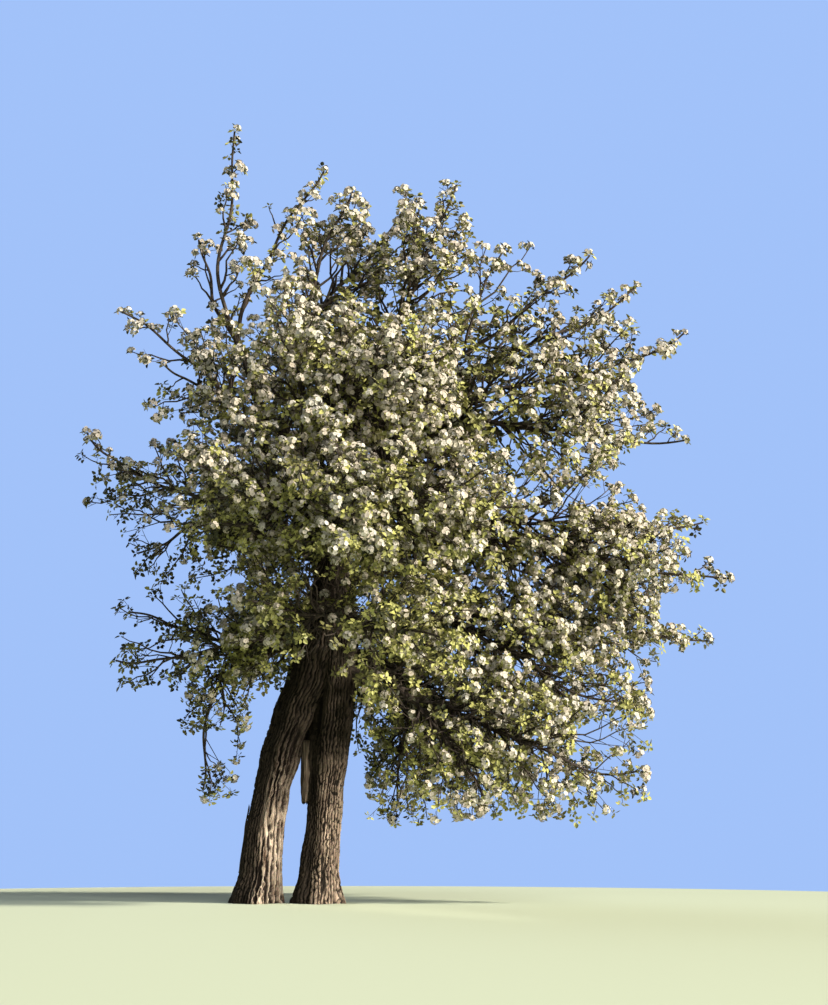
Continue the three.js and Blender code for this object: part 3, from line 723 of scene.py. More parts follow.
def places_on(limbs, t):
    """Points at the shares t of each limb: the cubic curve of its bend points, and a sway
    sin(pi t) * [side * sin(7.5 t + phase) + over * 0.7 sin(10.5 t + 2.3 phase)] across it."""
    t = np.broadcast_to(t, (len(limbs.seed), np.shape(t)[-1]))
    parts = [(1 - t) ** 3, 3 * t * (1 - t) ** 2, 3 * t ** 2 * (1 - t), t ** 3]
    line = sum(part[..., None] * limbs.bend[:, None, i] for i, part in enumerate(parts))
    along = unit(limbs.bend[:, 3] - limbs.bend[:, 0])
    side = unit(np.stack([-along[:, 1], along[:, 0], np.zeros(len(along))], axis=-1))
    over = np.cross(along, side)
    phase = limbs.phase[:, None]
    fade = np.sin(np.pi * t) * limbs.sway[:, None]
    line = line + (fade * np.sin(7.5 * t + phase))[..., None] * side[:, None]
    return line + (fade * 0.7 * np.sin(10.5 * t + 2.3 * phase))[..., None] * over[:, None]


def radii_on(limbs, t):
    """The limb's radius at shares t: from thick to thin by t to the power TAPER."""
    return limbs.thick[:, None] + (limbs.thin - limbs.thick)[:, None] * np.asarray(t) ** TAPER


def ways_on(limbs, t):
    """The limb's unit direction at shares t, from two points a hundredth of it apart."""
    t = np.asarray(t)
    before = places_on(limbs, np.maximum(t - 0.01, 0))
    return unit(places_on(limbs, np.minimum(t + 0.01, 1)) - before)


def repeated(faces, count, corners_each):
    """The faces of one small piece repeated for many of them."""
    shift = (np.arange(count) * corners_each)[:, None, None]
    return (faces[None] + shift).reshape(-1, faces.shape[1])


def tubes(limbs, rings, sides, relief=0.0, ridges=0):
    """Closed round tubes along many limbs at once, as corners, faces and how deep the furrows
    are at each corner. A ring lies across the line. With relief the radius is cut in by
    furrows, ridges of them to the round, that waver along the limb."""
    share = np.linspace(0, 1, rings)
    points, radii = places_on(limbs, share), radii_on(limbs, share)
    count = len(radii)
    along = unit(np.gradient(points, axis=1))
    middle = unit(points[:, -1] - points[:, 0])
    aside = np.eye(3)[np.argmin(np.abs(middle), axis=1)][:, None]
    across = unit(np.cross(along, aside))
    over = np.cross(along, across)
    a = np.arange(sides) * 2 * np.pi / sides
    round_part = across[:, :, None] * np.cos(a)[:, None] + over[:, :, None] * np.sin(a)[:, None]
    size = np.repeat(radii[..., None], sides, axis=2)
    depth = np.zeros_like(size)
    if relief:
        t = share[None, :, None]
        own = np.arange(count)[:, None, None]
        u = a / (2 * np.pi) * ridges + 1.4 * (patches(t * 9 + own * 7.1, own * 3.0, 5.0) - 0.5)
        u = u + 0.8 * (patches(t * 34 + own, a / (2 * np.pi) * 6, 9.0) - 0.5)
        depth = smooth_step(edge_share(u), 0.3, 1.0)
        lumps = 0.5 * (patches(t * 14 + own * 5.3, own * 1.0, 2.0) - 0.5)
        size = size * (1 - relief * depth + relief * lumps)
    corners = points[:, :, None] + round_part * size[..., None]
    faces = repeated(ring_faces(rings, sides), count, rings * sides)
    return corners.reshape(-1, 3), faces, depth.ravel()


def way_out(start, tip, slopes):
    """The unit directions that make for the tips at slopes in degrees."""
    out = np.arctan2(tip[:, 1] - start[:, 1], tip[:, 0] - start[:, 0])
    return way(out, np.radians(slopes))


def limbs_of_rows(rows, start, start_way, tip, crook, thick, thin, index, mass):
    """Limbs from the rows of a table, each with its own number for its draws."""
    run = np.linalg.norm(tip - start, axis=1)
    bend = bend_points(start, start_way, tip, way_out(start, tip, [row.turn for row in rows]))
    phase = 2 * np.pi * chance(index + 0.5)
    return Limbs(bend, crook * run, phase, thick, thin, run, index * 1.0, mass)


def bough_limbs():
    """The boughs' lines and radii from their rows, as in the CAD model."""
    start = trunk_middle(np.array([row.leaves for row in BOUGHS]))
    tip = np.array([tip_of(row) for row in BOUGHS])
    start_way = way_out(start, tip, [row.rise for row in BOUGHS])
    thick, thin = (np.array([(row.thick, row.thin) for row in BOUGHS]) / 2).T
    index, no_mass = np.arange(len(BOUGHS)), np.full(len(BOUGHS), -1)
    return limbs_of_rows(
        BOUGHS, start, start_way, tip, BOUGH_CROOK, thick, thin, index, no_mass
    )


def limb_bark_material():
    """The greyer, finer bark of boughs, branches and twigs."""
    material = new_material("limb_bark", {"Roughness": 0.9, "Specular IOR Level": 0.25})
    bark = weathered(material.node_tree, LIMB_DARK, LIMB_LIGHT, BARK_CRACK_AND_SHADE, LIMB_STREAKS).outputs
    finish_surface(material, bark["Colour"], bark["Height"], bump_strength=0.7, bump_depth=0.005)
    return material


boughs = bough_limbs()
corners, faces, depth = tubes(boughs, BOUGH_RINGS, BOUGH_SIDES, BOUGH_FURROW, FURROWS_ROUND)
limb_bark = limb_bark_material()
bough_piece = mesh_piece("boughs", corners, faces, limb_bark, smooth=True)
# The furrows darken the bark: their own dark with painted shade in them.
keep_on_corners(bough_piece, "crack_and_shade_darkness", FURROW_DARK_AND_SHADE * depth)
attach(bough_piece, "root")
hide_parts(*[f"bough_{row.name}" for row in BOUGHS])

# The outer limbs: the stem of each mass goes on from its bough's tip, branches leave it by
# the golden angle, finer twigs leave them by the same rule, and short spurs stand along all
# of them. A row gives the bough, where the stem's tip is, the slope at which it ends, the
# length of the mass's longest branch, and how full it is of growth beyond the CAD model's.
Mass = namedtuple("Mass", "name bough bearing reach height turn spread fullness")
MASSES = [
    Mass("tall_shoot", "left_leader", 180, 0.890, 7.93, 90, 0.42, 0.4),
    Mass("top_left", "left_leader", 278, 0.340, 7.44, 58, 0.56, 0.2),
    Mass("left_shoulder", "left_leader", 156, 1.420, 6.90, 66, 0.62, 0.1),
    Mass("top_middle", "middle_leader", 319, 0.450, 7.24, 66, 0.62, 1),
    Mass("top_back", "middle_leader", 39, 1.090, 7.24, 70, 0.70, 1.8),
    Mass("top_right", "right_leader", 352, 1.420, 7.33, 70, 0.72, 1.8),
    Mass("top_far_right", "high_right", 31, 2.270, 6.92, 52, 0.76, 0.35),
    Mass("right_shoulder", "high_right", 352, 2.790, 6.56, 46, 0.76, 0.45),
    Mass("right_shoulder_back", "high_right", 8, 3.330, 6.39, 46, 0.72, 0.5),
    Mass("right_spur", "upper_right", 358, 3.740, 5.80, 44, 0.82, 1),
    Mass("right_front", "upper_right", 346, 3.770, 4.60, 6, 0.86, 2.3),
    Mass("right_high", "right", 11, 4.080, 3.93, 14, 0.86, 2),
    Mass("right_wide", "right", 359, 4.180, 3.28, -2, 0.86, 2.5),
    Mass("right_back", "lower_right", 12, 4.150, 2.69, -4, 0.82, 1.9),
    Mass("right_low", "lower_right", 1, 3.290, 2.00, 2, 0.70, 2.3),
    Mass("right_lowest", "drooping_right", 350, 3.270, 1.33, 14, 0.64, 3.2),
    Mass("hanging_right", "drooping_right", 338, 1.800, 0.96, -80, 0.56, 2.8),
    Mass("hanging_back", "low_back_right", 32, 0.940, 0.94, -84, 0.52, 3.4),
    Mass("low_back_right", "low_back_right", 40, 2.500, 1.66, -10, 0.72, 2.0),
    Mass("left_tip", "upper_left", 186, 2.040, 6.01, 26, 0.62, 0.4),
    Mass("front_left_upper", "upper_left", 222, 2.000, 5.30, 24, 0.76, 1.05),
    Mass("left_wide", "left", 178, 2.400, 4.80, 62, 0.70, 0.95),
    Mass("left_back", "left", 160, 2.050, 3.60, -6, 0.76, 0.75),
    Mass("left_level", "lower_left", 171, 1.990, 2.96, 6, 0.56, 1),
    Mass("left_low", "lower_left", 188, 2.060, 2.44, 16, 0.56, 1.35),
    Mass("left_drooping", "lower_left", 166, 1.230, 1.13, -78, 0.44, 1.5),
    Mass("front_top", "front_upper", 262, 2.060, 5.96, 46, 0.88, 1.3),
    Mass("front_high_right", "front_upper", 303, 2.560, 5.33, 24, 0.90, 2.5),
    Mass("front_left", "front", 236, 2.330, 4.33, 18, 0.86, 1.9),
    Mass("front_middle", "front", 282, 2.700, 3.76, 6, 0.86, 1.8),
    Mass("front_right", "front", 320, 3.050, 3.88, 4, 0.90, 2.2),
    Mass("front_low_left", "front_low", 250, 1.880, 2.96, 4, 0.66, 2.4),
    Mass("front_low_right", "front_low", 304, 2.600, 2.53, -12, 0.80, 1.5),
    Mass("back_top", "back_upper", 103, 2.080, 5.92, 46, 0.88, 1.2),
    Mass("back_high_right", "back_upper", 51, 2.680, 5.38, 28, 0.90, 1.9),
    Mass("back_left", "back", 124, 2.360, 4.35, 16, 0.86, 1.5),
    Mass("back_middle", "back", 78, 2.720, 3.86, 6, 0.86, 1.2),
    Mass("back_right", "back", 40, 3.080, 3.80, 4, 0.90, 1.6),
    Mass("back_low_left", "back_low", 112, 2.020, 2.68, 2, 0.70, 1.7),
    Mass("back_low_right", "back_low", 60, 2.480, 2.38, -10, 0.76, 1.6),
]
STEM_CROOK = 0.022
STEM_ROOT = 0.024
STEM_SHARE, STEM_STOUTER = 0.52, 1.15
STEM_THIN = 0.0095
FORK_OFFSET, FORK_SPREAD = 0.5, 0.4
TWIG_STEP = 0.133
FINE_STEP = 0.12
FORKS_PER_METRE = 4.6
GOLDEN_ANGLE = math.radians(137.508)
LIMB_CROOK = 0.05
THICKEST_BY_LENGTH = 0.026
LOWEST_TWIG = 0.80
TRUNK_ROOM, ROOM_LESS_BY_HEIGHT = 0.46, 0.07
ABOVE_THE_FORK = 0.03
OVER_THE_BOX = np.array([0.05, 0.05, 0.11])
OVER_THE_CROWN = 0.05
SWAY_ROOM = 0.03
SHORTEST_LIMB = 0.03
NO_RUN = 1e-6
HANGING_BELOW = -60
TIP_SLENDER = 0.5
LOW_BELOW = 2.2
LOW_TAPER = 0.40


def stem_limbs():
    """The masses' stems from their rows, as in the CAD model but a little thicker: stems that
    share a bough's tip stand side by side on it, each on the side that it makes for."""
    carrier = np.array([[row.name for row in BOUGHS].index(row.bough) for row in MASSES])
    carrier_limbs = pick(boughs, carrier)
    tip = np.array([tip_of(row) for row in MASSES])
    middle = np.array([tip[carrier == own].mean(axis=0) for own in carrier])
    onward = ways_on(carrier_limbs, [1.0])[:, 0]
    off = tip - middle
    aside = unit(off - np.sum(off * onward, axis=1, keepdims=True) * onward)
    room = carrier_limbs.thin[:, None]
    start = carrier_limbs.bend[:, 3] + aside * FORK_OFFSET * room - onward * STEM_ROOT
    start_way = unit(onward + FORK_SPREAD * aside)
    mass = np.arange(len(MASSES))
    thick, thin = STEM_SHARE * room[:, 0] * STEM_STOUTER, np.full(len(mass), STEM_THIN)
    return limbs_of_rows(
        MASSES, start, start_way, tip, STEM_CROOK, thick, thin, mass + len(BOUGHS), mass
    )


def pick(limbs, chosen):
    """The chosen limbs, by their numbers or by a mask."""
    return Limbs(*[field[chosen] for field in limbs])


def joined(groups):
    """Several groups of limbs as one."""
    return Limbs(*[np.concatenate(fields) for fields in zip(*groups)])


def side_limbs(
    parents, counts, spread, first, last, lean, lift, curl, thick_share, thin, salt, crowd=1.0,
    taper=0.74,
):
    """Side limbs by the tree's rule. The k-th of n on a limb leaves it at the share
    first + (last - first)((k + 0.35 + 0.3 chance)/n)^crowd, turned by the golden angle each
    time, leaning lean[0] - lean[1] * share degrees off it. It is spread(1 - taper share) long,
    with less taper on low masses and shorter still near the tip. It makes upward by the lift
    and its end turns up by the curl, or both go down where the mass droops."""
    owner = np.repeat(np.arange(len(counts)), counts)
    k = np.arange(len(owner)) - np.repeat(np.cumsum(counts) - counts, counts)
    seed = parents.seed[owner] * 31 + k + salt
    share = first + (last - first) * ((k + 0.35 + 0.3 * chance(seed)) / counts[owner]) ** crowd
    own = pick(parents, owner)
    root = places_on(own, share[:, None])[:, 0]
    tangent = ways_on(own, share[:, None])[:, 0]
    across = unit(np.cross(tangent, UP))
    over = np.cross(across, tangent)
    turn = (GOLDEN_ANGLE * k + 2 * np.pi * chance(parents.seed[owner] + salt + 0.25))[:, None]
    tilt = np.radians(lean[0] - lean[1] * share + 14 * (chance(seed + 0.7) - 0.5))[:, None]
    own_taper = taper * np.where(low[own.mass], LOW_TAPER, 1.0)
    length = spread[owner] * (1 - own_taper * share) * (0.85 + 0.3 * chance(seed + 0.5))
    length = length * (1 - TIP_SLENDER * own_taper * smooth_step(share, 0.45, 0.95))
    out = tangent * np.cos(tilt) + across * np.sin(tilt) * np.cos(turn)
    out = out + over * np.sin(tilt) * np.sin(turn)
    hangs = (chance(seed + 0.93) < droop_share[own.mass])[:, None]
    run = (out + UP * np.where(hangs, -lift, lift)) * length[:, None]
    run = run * room_along(root, run, own.mass, seed)[:, None]
    tip = root + run
    length = np.linalg.norm(run, axis=1)
    tip_way = unit(unit(run) + UP * np.where(hangs, -1.6 * curl, curl))
    bend = bend_points(root, unit(run), tip, tip_way)
    thick = radii_on(own, share[:, None])[:, 0] * thick_share
    thick = np.minimum(thick, THICKEST_BY_LENGTH * length ** 0.5)
    made = Limbs(
        bend, LIMB_CROOK * length, 2 * np.pi * chance(seed + 0.31),
        np.maximum(thick, thin * 1.3), np.full(len(seed), thin), length, seed % 9973, own.mass,
    )
    return pick(made, keeps_to_reach(made))


def room_along(root, run, mass, seed):
    """The share of each run that stays in the box of its mass's solid, less a chance part
    where the box cuts it short."""
    wall = np.where(run > 0, wall_high[mass], wall_low[mass])
    share = ((wall - root) / np.where(np.abs(run) < NO_RUN, NO_RUN, run)).min(axis=1)
    return np.where(share < 1, np.maximum(share, 0) * (0.65 + 0.35 * chance(seed + 0.87)), 1)


def clear_of_trunk(point):
    """True where points are clear of the trunk, which takes less room higher up, and above
    the lowest twigs."""
    z = point[..., 2]
    middle = trunk_middle(np.minimum(z, TRUNK_TOP))[..., 0]
    from_axis = np.hypot(point[..., 0] - middle, point[..., 1])
    beside = from_axis > TRUNK_ROOM - ROOM_LESS_BY_HEIGHT * z
    return (beside | (z > TRUNK_TOP + ABOVE_THE_FORK)) & (z > LOWEST_TWIG)


# The gaps where the crown is open from front to back: x, z, half width and half height.
GAPS = np.array([
    [0.66, 7.08, 0.15, 0.17],
    [-1.12, 6.46, 0.15, 0.29],
    [0.07, 6.46, 0.14, 0.28],
    [2.05, 6.45, 0.20, 0.16],
    [-1.57, 5.50, 0.16, 0.34],
    [-1.35, 5.30, 0.19, 0.19],
    [-2.07, 4.79, 0.18, 0.16],
    [3.38, 4.45, 0.21, 0.25],
    [2.75, 4.19, 0.28, 0.10],
    [2.20, 4.02, 0.16, 0.16],
    [2.45, 4.00, 0.15, 0.14],
    [-1.59, 3.76, 0.16, 0.15],
    [-1.72, 2.98, 0.26, 0.15],
    [-1.83, 2.72, 0.14, 0.12],
    [-1.59, 2.46, 0.14, 0.12],
    [2.80, 1.68, 0.24, 0.15],
    [-1.16, 1.56, 0.30, 0.17],
])


def in_a_gap(point):
    """True for points in a gap: inside its ellipse, seen along y."""
    off = (point[:, None, ::2] - GAPS[:, :2]) / GAPS[:, 2:]
    return np.any(np.sum(off ** 2, axis=-1) < 1, axis=1)


def keeps_to_reach(limbs):
    """True for limbs that are clear of the trunk and the gaps, and stay in the box of their
    mass's solid."""
    points = places_on(limbs, [0.4, 0.75, 1.0])
    low, high = wall_low[limbs.mass][:, None], wall_high[limbs.mass][:, None]
    inside = np.all((points > low - SWAY_ROOM) & (points < high + SWAY_ROOM), axis=-1)
    keeps = np.all(inside & clear_of_trunk(points), axis=1) & ~in_a_gap(points[:, 2])
    return keeps & (limbs.length > SHORTEST_LIMB)


whole_low, whole_high = (np.array(corner) for corner in packed_box)
mass_boxes = [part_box(f"mass_{row.name}") for row in MASSES]
box_low = np.array([np.array(box[0]) for box in mass_boxes] + [whole_low])
box_high = np.array([np.array(box[1]) for box in mass_boxes] + [whole_high])
fullness = np.array([row.fullness for row in MASSES] + [1.0])
margin = OVER_THE_BOX * np.clip(fullness, 0.5, 2.2)[:, None]
wall_low = np.maximum(box_low - margin, whole_low - OVER_THE_CROWN)
wall_high = np.minimum(box_high + margin, whole_high + OVER_THE_CROWN)
hanging = np.array([row.turn < HANGING_BELOW for row in MASSES] + [False])
low = np.array([row.height < LOW_BELOW for row in MASSES] + [False])
droop_share = np.where(hanging, 1.0, np.where(low, 0.6, 0.12))

stems = stem_limbs()
spread = np.array([row.spread for row in MASSES])
source_count = np.round(spread / TWIG_STEP).astype(int)
stem_fullness = fullness[:-1]
fine_count = np.round(stem_fullness * spread / FINE_STEP * stems.length ** 0.5).astype(int)
fork_count = np.round(stem_fullness * FORKS_PER_METRE * stems.length).astype(int)
branches = joined([
    side_limbs(
        stems, source_count, spread, first=0.08, last=0.90, lean=(64, 24), lift=0.16,
        curl=0.25, thick_share=0.72, thin=0.0045, salt=0,
    ),
    side_limbs(
        stems, fine_count, spread * 0.92, first=0.04, last=0.97, lean=(66, 30), lift=0.16,
        curl=0.3, thick_share=0.66, thin=0.004, salt=7, crowd=2.2,
    ),
    side_limbs(
        stems, fork_count, spread * 1.7, first=0.0, last=0.58, lean=(44, 22), lift=0.10,
        curl=0.25, thick_share=0.8, thin=0.0045, salt=9,
    ),
])
inner = side_limbs(
    boughs, np.array([row.shoots for row in BOUGHS]), 0.60 + 0.62 * boughs.length, first=0.30,
    last=1.0, lean=(62, 20), lift=0.25, curl=0.35, thick_share=0.35, thin=0.0035, salt=3,
)


def by_length(limbs, step, first=0.0):
    """How many side limbs each limb has room for, one to a step of its length."""
    return np.maximum(1, np.round(limbs.length * (1 - first) / step)).astype(int)


CROWN_MIDDLE = np.array([0.75, 0.0, 4.80])
CROWN_HALF = np.array([3.30, 2.40, 2.90])
DUSK = (0.42, 0.78)
SHADED_KEEP = 0.30
SPARSE_KEEP = 0.35
TWIG_SPACE = 0.17
SPUR_LENGTH = 0.045


def light_at(point):
    """How much light reaches a point: 0 deep inside the crown, 1 near its outside, by the
    distance from the middle in half widths of the crown."""
    return smooth_step(np.linalg.norm((point - CROWN_MIDDLE) / CROWN_HALF, axis=-1), *DUSK)


def not_shaded_out(limbs, salt):
    """The limbs that live: all in full light, fewer deep inside and on sparse masses."""
    keep = SHADED_KEEP + (1 - SHADED_KEEP) * light_at(limbs.bend[:, 3])
    keep = keep * np.minimum(1, SPARSE_KEEP + (1 - SPARSE_KEEP) * fullness[limbs.mass])
    return pick(limbs, chance(limbs.seed + salt) < keep)


carrying = joined([branches, inner])
twigs = not_shaded_out(side_limbs(
    carrying, by_length(carrying, TWIG_SPACE), 0.50 * carrying.length + 0.07, first=0.12,
    last=0.97, lean=(58, 16), lift=0.14, curl=0.35, thick_share=0.7, thin=0.0028, salt=5,
), salt=0.17)


def spurs_on(limbs, step, first, salt):
    """Short spurs along limbs, one to a step of length from the share first on."""
    return side_limbs(
        limbs, by_length(limbs, step, first), np.full(len(limbs.seed), SPUR_LENGTH),
        first=first, last=1.0, lean=(72, 22), lift=0.3, curl=0.2, thick_share=0.35,
        thin=0.0018, salt=salt, taper=0.0,
    )


spurs = joined([
    spurs_on(stems, step=0.07, first=0.25, salt=2),
    not_shaded_out(spurs_on(boughs, step=0.15, first=0.45, salt=1), salt=0.29),
    not_shaded_out(spurs_on(carrying, step=0.12, first=0.30, salt=4), salt=0.29),
    not_shaded_out(spurs_on(twigs, step=0.20, first=0.2, salt=6), salt=0.29),
])


def merged(parts):
    """Several sets of corners and faces as one."""
    shift = np.cumsum([0] + [len(part[0]) for part in parts[:-1]])
    corners = np.concatenate([part[0] for part in parts])
    faces = np.concatenate([part[1] + by for part, by in zip(parts, shift)])
    return corners, faces


mass_nodes = [f"mass_{row.name}" for row in MASSES]
for limb_name, parts in (
    ("stems_and_branches", [tubes(stems, rings=30, sides=8), tubes(carrying, rings=7, sides=4)]),
    ("twigs_and_spurs", [tubes(twigs, rings=3, sides=3), tubes(spurs, rings=2, sides=3)]),
):
    limb_piece = mesh_piece(limb_name, *merged(parts), limb_bark, smooth=True)
    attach(limb_piece, "root")
    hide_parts(*mass_nodes)

# The sprays: a rosette of young leaves stands on the tip of every spur and shoot, and most
# carry a head of blossom too. The crown is leafier low down on both sides and at the trunk.
# Sprays are left out in front of the old limbs at the lower right and of the upper trunk.
Sprays = namedtuple("Sprays", "place way seed blooms")
SPRAY_ROOM = 0.082
PATCH_SIZE = 0.24
MOST_BLOOM = 0.88
FEWER_ON_LEFT = ((0.37, -1.0, 0.8, 2.8, 4.6), (0.34, 0.8, 1.6, 4.9, 5.8))
FEWER_LOW_DOWN = 0.17, 3.4, 5.0
FEWER_AT_TRUNK = 0.42, 2.9, 3.9
FEWER_ON_RIGHT = 0.12, 2.3, 3.3
TRUNK_X = 0.45
BARE_LIMBS = ("right_low", "right_lowest", "hanging_right", "hanging_back", "low_back_right")
BARE_WIDTH, BARE_SHARE, BARE_BEHIND = 0.062, 0.85, 0.03
BARE_STEPS = 60
BARE_TRUNK_MIDDLE, BARE_TRUNK_HALF = 0.09, 0.19
BARE_TRUNK_FROM, BARE_TRUNK_TO = 2.35, 3.35
BARE_TRUNK_ODDS = 0.85


def veils_limb(point):
    """True for points that would hide one of the old arching limbs from the front: beside its
    line by less than the bare width, and before it."""
    bare = np.isin([row.name for row in MASSES], BARE_LIMBS)
    line = places_on(pick(stems, bare), np.linspace(0.0, BARE_SHARE, BARE_STEPS)).reshape(-1, 3)
    veils = np.zeros(len(point), dtype=bool)
    for part in np.array_split(np.arange(len(point)), 16):
        off = point[part, None] - line[None]
        beside = np.hypot(off[..., 0], off[..., 2]) < BARE_WIDTH
        veils[part] = np.any(beside & (off[..., 1] < BARE_BEHIND), axis=1)
    return veils


def veils_trunk(point):
    """True for points that would hide the upper trunk from the front."""
    beside = np.abs(point[:, 0] - BARE_TRUNK_MIDDLE) < BARE_TRUNK_HALF
    level = (point[:, 2] > BARE_TRUNK_FROM) & (point[:, 2] < BARE_TRUNK_TO)
    return beside & (point[:, 1] < 0) & level


def blossom_odds(place):
    """How likely a spray blooms: less in the shade, and less by a share of each zone, which
    fades out between two heights: on the left (two zones, each with where it sets in), all
    over low down, round the trunk and on the right."""
    x, z = place[:, 0], place[:, 2]
    odds = MOST_BLOOM
    for less, near, far, *heights in FEWER_ON_LEFT:
        odds = odds - less * (smooth_step(-x, near, far) * (1 - smooth_step(z, *heights)))
    odds = odds * (0.45 + 0.55 * light_at(place))
    at_trunk = 1 - smooth_step(np.abs(x - TRUNK_X), 0.5, 1.2)
    on_right = smooth_step(x, 0.3, 0.9)
    for (less, *heights), there in (
        (FEWER_LOW_DOWN, 1), (FEWER_AT_TRUNK, at_trunk), (FEWER_ON_RIGHT, on_right),
    ):
        odds = odds - less * there * (1 - smooth_step(z, *heights))
    return odds


def make_sprays():
    """The place, direction, seed and kind of each spray, from the tips of spurs, twigs and
    branches, one at most to each small cube of space. A spray turns somewhat to the light,
    and blossom stands in patches."""
    shoots = joined([stems, carrying, twigs, spurs])
    cube = np.floor(shoots.bend[:, 3] / SPRAY_ROOM).astype(int)
    first = np.unique(cube, axis=0, return_index=True)[1]
    shoots = pick(shoots, np.sort(first))
    tips = shoots.bend[:, 3]
    before_trunk = veils_trunk(tips) & (chance(shoots.seed + 0.19) < BARE_TRUNK_ODDS)
    shoots = pick(shoots, ~veils_limb(tips) & ~before_trunk)
    place = shoots.bend[:, 3]
    facing = ways_on(shoots, [1.0])[:, 0]
    turned = unit(facing + np.where(hanging[shoots.mass], 0.1, 0.45)[:, None] * UP)
    seed = shoots.seed * 1.618 + shoots.mass * 3.7
    across, up = place[:, 0] / PATCH_SIZE, place[:, 2] / PATCH_SIZE + place[:, 1] * 1.9
    grouped = 0.15 + 1.7 * patches(across, up, 4.0)
    return Sprays(place, turned, seed, chance(seed) < blossom_odds(place) * grouped)


sprays = make_sprays()

# The leaves are young and glossy, oval with a point, on stalks a third of their length,
# folded a little along the midrib. Each is four faces in its own outline and one slim face
# for its stalk. Sprays of four greens are mixed, the darker ones more often on the left as
# painted shade.
LEAF_LENGTH = 0.076
LEAF_HALF_WIDTH = 0.26
LEAF_FOLD = 0.10
LEAF_DROOP = 0.18
LEAF_ROLL = 1.3
SHADE_GROWTH = 0.35
LEAVES_WITH_BLOSSOM = 5
LEAVES_ALONE = 6
LEAF_OUTLINE = np.array([
    [0.30, 0.00], [0.52, 1.00], [0.82, 0.72], [1.00, 0.00], [0.82, -0.72], [0.52, -1.00],
    [0.00, 0.08], [0.00, -0.08],
])
LEAF_FACES = np.array([[3, 0, 1], [3, 1, 2], [3, 5, 0], [3, 4, 5], [0, 6, 7]])
LEAF_TINTS = {
    "leaves_lime": (0.372, 0.370, 0.112),
    "leaves_fresh": (0.262, 0.266, 0.080),
    "leaves_olive": (0.150, 0.144, 0.045),
    "leaves_deep": (0.038, 0.042, 0.017),
}


def frames_round(axis):
    """Two unit vectors across each axis, at right angles to it and to each other."""
    aside = np.eye(3)[np.argmin(np.abs(axis), axis=1)]
    across = unit(np.cross(axis, aside))
    return across, np.cross(axis, across)


def leaves_of(chosen, count):
    """The leaves of the chosen sprays, longer in the shade. The k-th leaves the spray's tip at
    the golden angle, leaning 34 + 62 chance^0.7 degrees off its axis. A leaf's point at (l, w)
    of its outline is l along it, w times its half width across, raised by the fold and bent
    down by the square of l."""
    k = np.tile(np.arange(count), len(chosen))
    own = np.repeat(chosen, count)
    seed = sprays.seed[own] * 7.3 + k * 1.37
    axis = sprays.way[own]
    across, over = frames_round(axis)
    turn = (GOLDEN_ANGLE * k + 2 * np.pi * chance(sprays.seed[own] + 0.4))[:, None]
    lean = np.radians(34 + 62 * chance(seed) ** 0.7)[:, None]
    out = across * np.cos(turn) + over * np.sin(turn)
    along = axis * np.cos(lean) + out * np.sin(lean)
    up = axis * np.sin(lean) - out * np.cos(lean)
    roll = ((chance(seed + 0.6) - 0.5) * LEAF_ROLL)[:, None]
    wide = np.cross(along, up)
    wide, up = wide * np.cos(roll) + up * np.sin(roll), up * np.cos(roll) - wide * np.sin(roll)
    shade = 1 - light_at(sprays.place[own])
    size = LEAF_LENGTH * (0.72 + 0.45 * chance(seed + 0.2)) * (1 + SHADE_GROWTH * shade)
    size = size[:, None, None]
    l, w = LEAF_OUTLINE[:, 0][None, :, None], LEAF_OUTLINE[:, 1][None, :, None]
    points = along[:, None] * l + wide[:, None] * w * LEAF_HALF_WIDTH
    points = points + up[:, None] * (np.abs(w) * LEAF_FOLD - l ** 2 * LEAF_DROOP)
    corners = sprays.place[own][:, None] + points * size
    return corners.reshape(-1, 3), repeated(LEAF_FACES, len(own), len(LEAF_OUTLINE))


# Painted shade: toward the left, away from the light, sprays are dealt darker greens more often.
painted_shade_on_left = 0.35 * smooth_step(-sprays.place[:, 0], 0.2, 2.0)
tint_draw = chance(sprays.seed + 0.77) + painted_shade_on_left - 0.1
leaf_tint = np.clip(np.floor(tint_draw * 4), 0, 3).astype(int)
for number, (leaf_name, colour) in enumerate(LEAF_TINTS.items()):
    with_blossom = np.flatnonzero((leaf_tint == number) & sprays.blooms)
    alone = np.flatnonzero((leaf_tint == number) & ~sprays.blooms)
    parts = [leaves_of(with_blossom, LEAVES_WITH_BLOSSOM), leaves_of(alone, LEAVES_ALONE)]
    leaf_green = new_material(leaf_name, {
        "Base Color": (*colour, 1), "Roughness": 0.5, "Specular IOR Level": 0.4,
    })
    leaf_piece = mesh_piece(leaf_name, *merged(parts), leaf_green)
    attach(leaf_piece, "root")
    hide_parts(*mass_nodes)

# The blossom: a domed head of flowers on thin stalks from the tip of a spur. A flower has
# five broad petals, cupped and nearly touching, round a small eye of rosy anthers. Heads of
# three whites are mixed.
FLOWERS_IN_HEAD = 9
HEAD_RADIUS, HEAD_LIFT = 0.038, 0.012
HEAD_OPENING = math.radians(100)
FLOWER_RADIUS, FLOWER_TILT = 0.0195, 0.55
PETALS = 5
PETAL_HALF_WIDTH = 0.66
PETAL_CUP = 0.12
EYE_RADIUS, EYE_LIFT = 0.0042, 0.004
STALK_HALF_WIDTH = 0.0011
BLOSSOM_TINTS = {
    "blossom_white": (0.56, 0.53, 0.46),
    "blossom_cream": (0.54, 0.50, 0.405),
    "blossom_blush": (0.51, 0.455, 0.37),
}
EYE_COLOUR = (0.20, 0.085, 0.060)
STALK_COLOUR = (0.20, 0.24, 0.06)


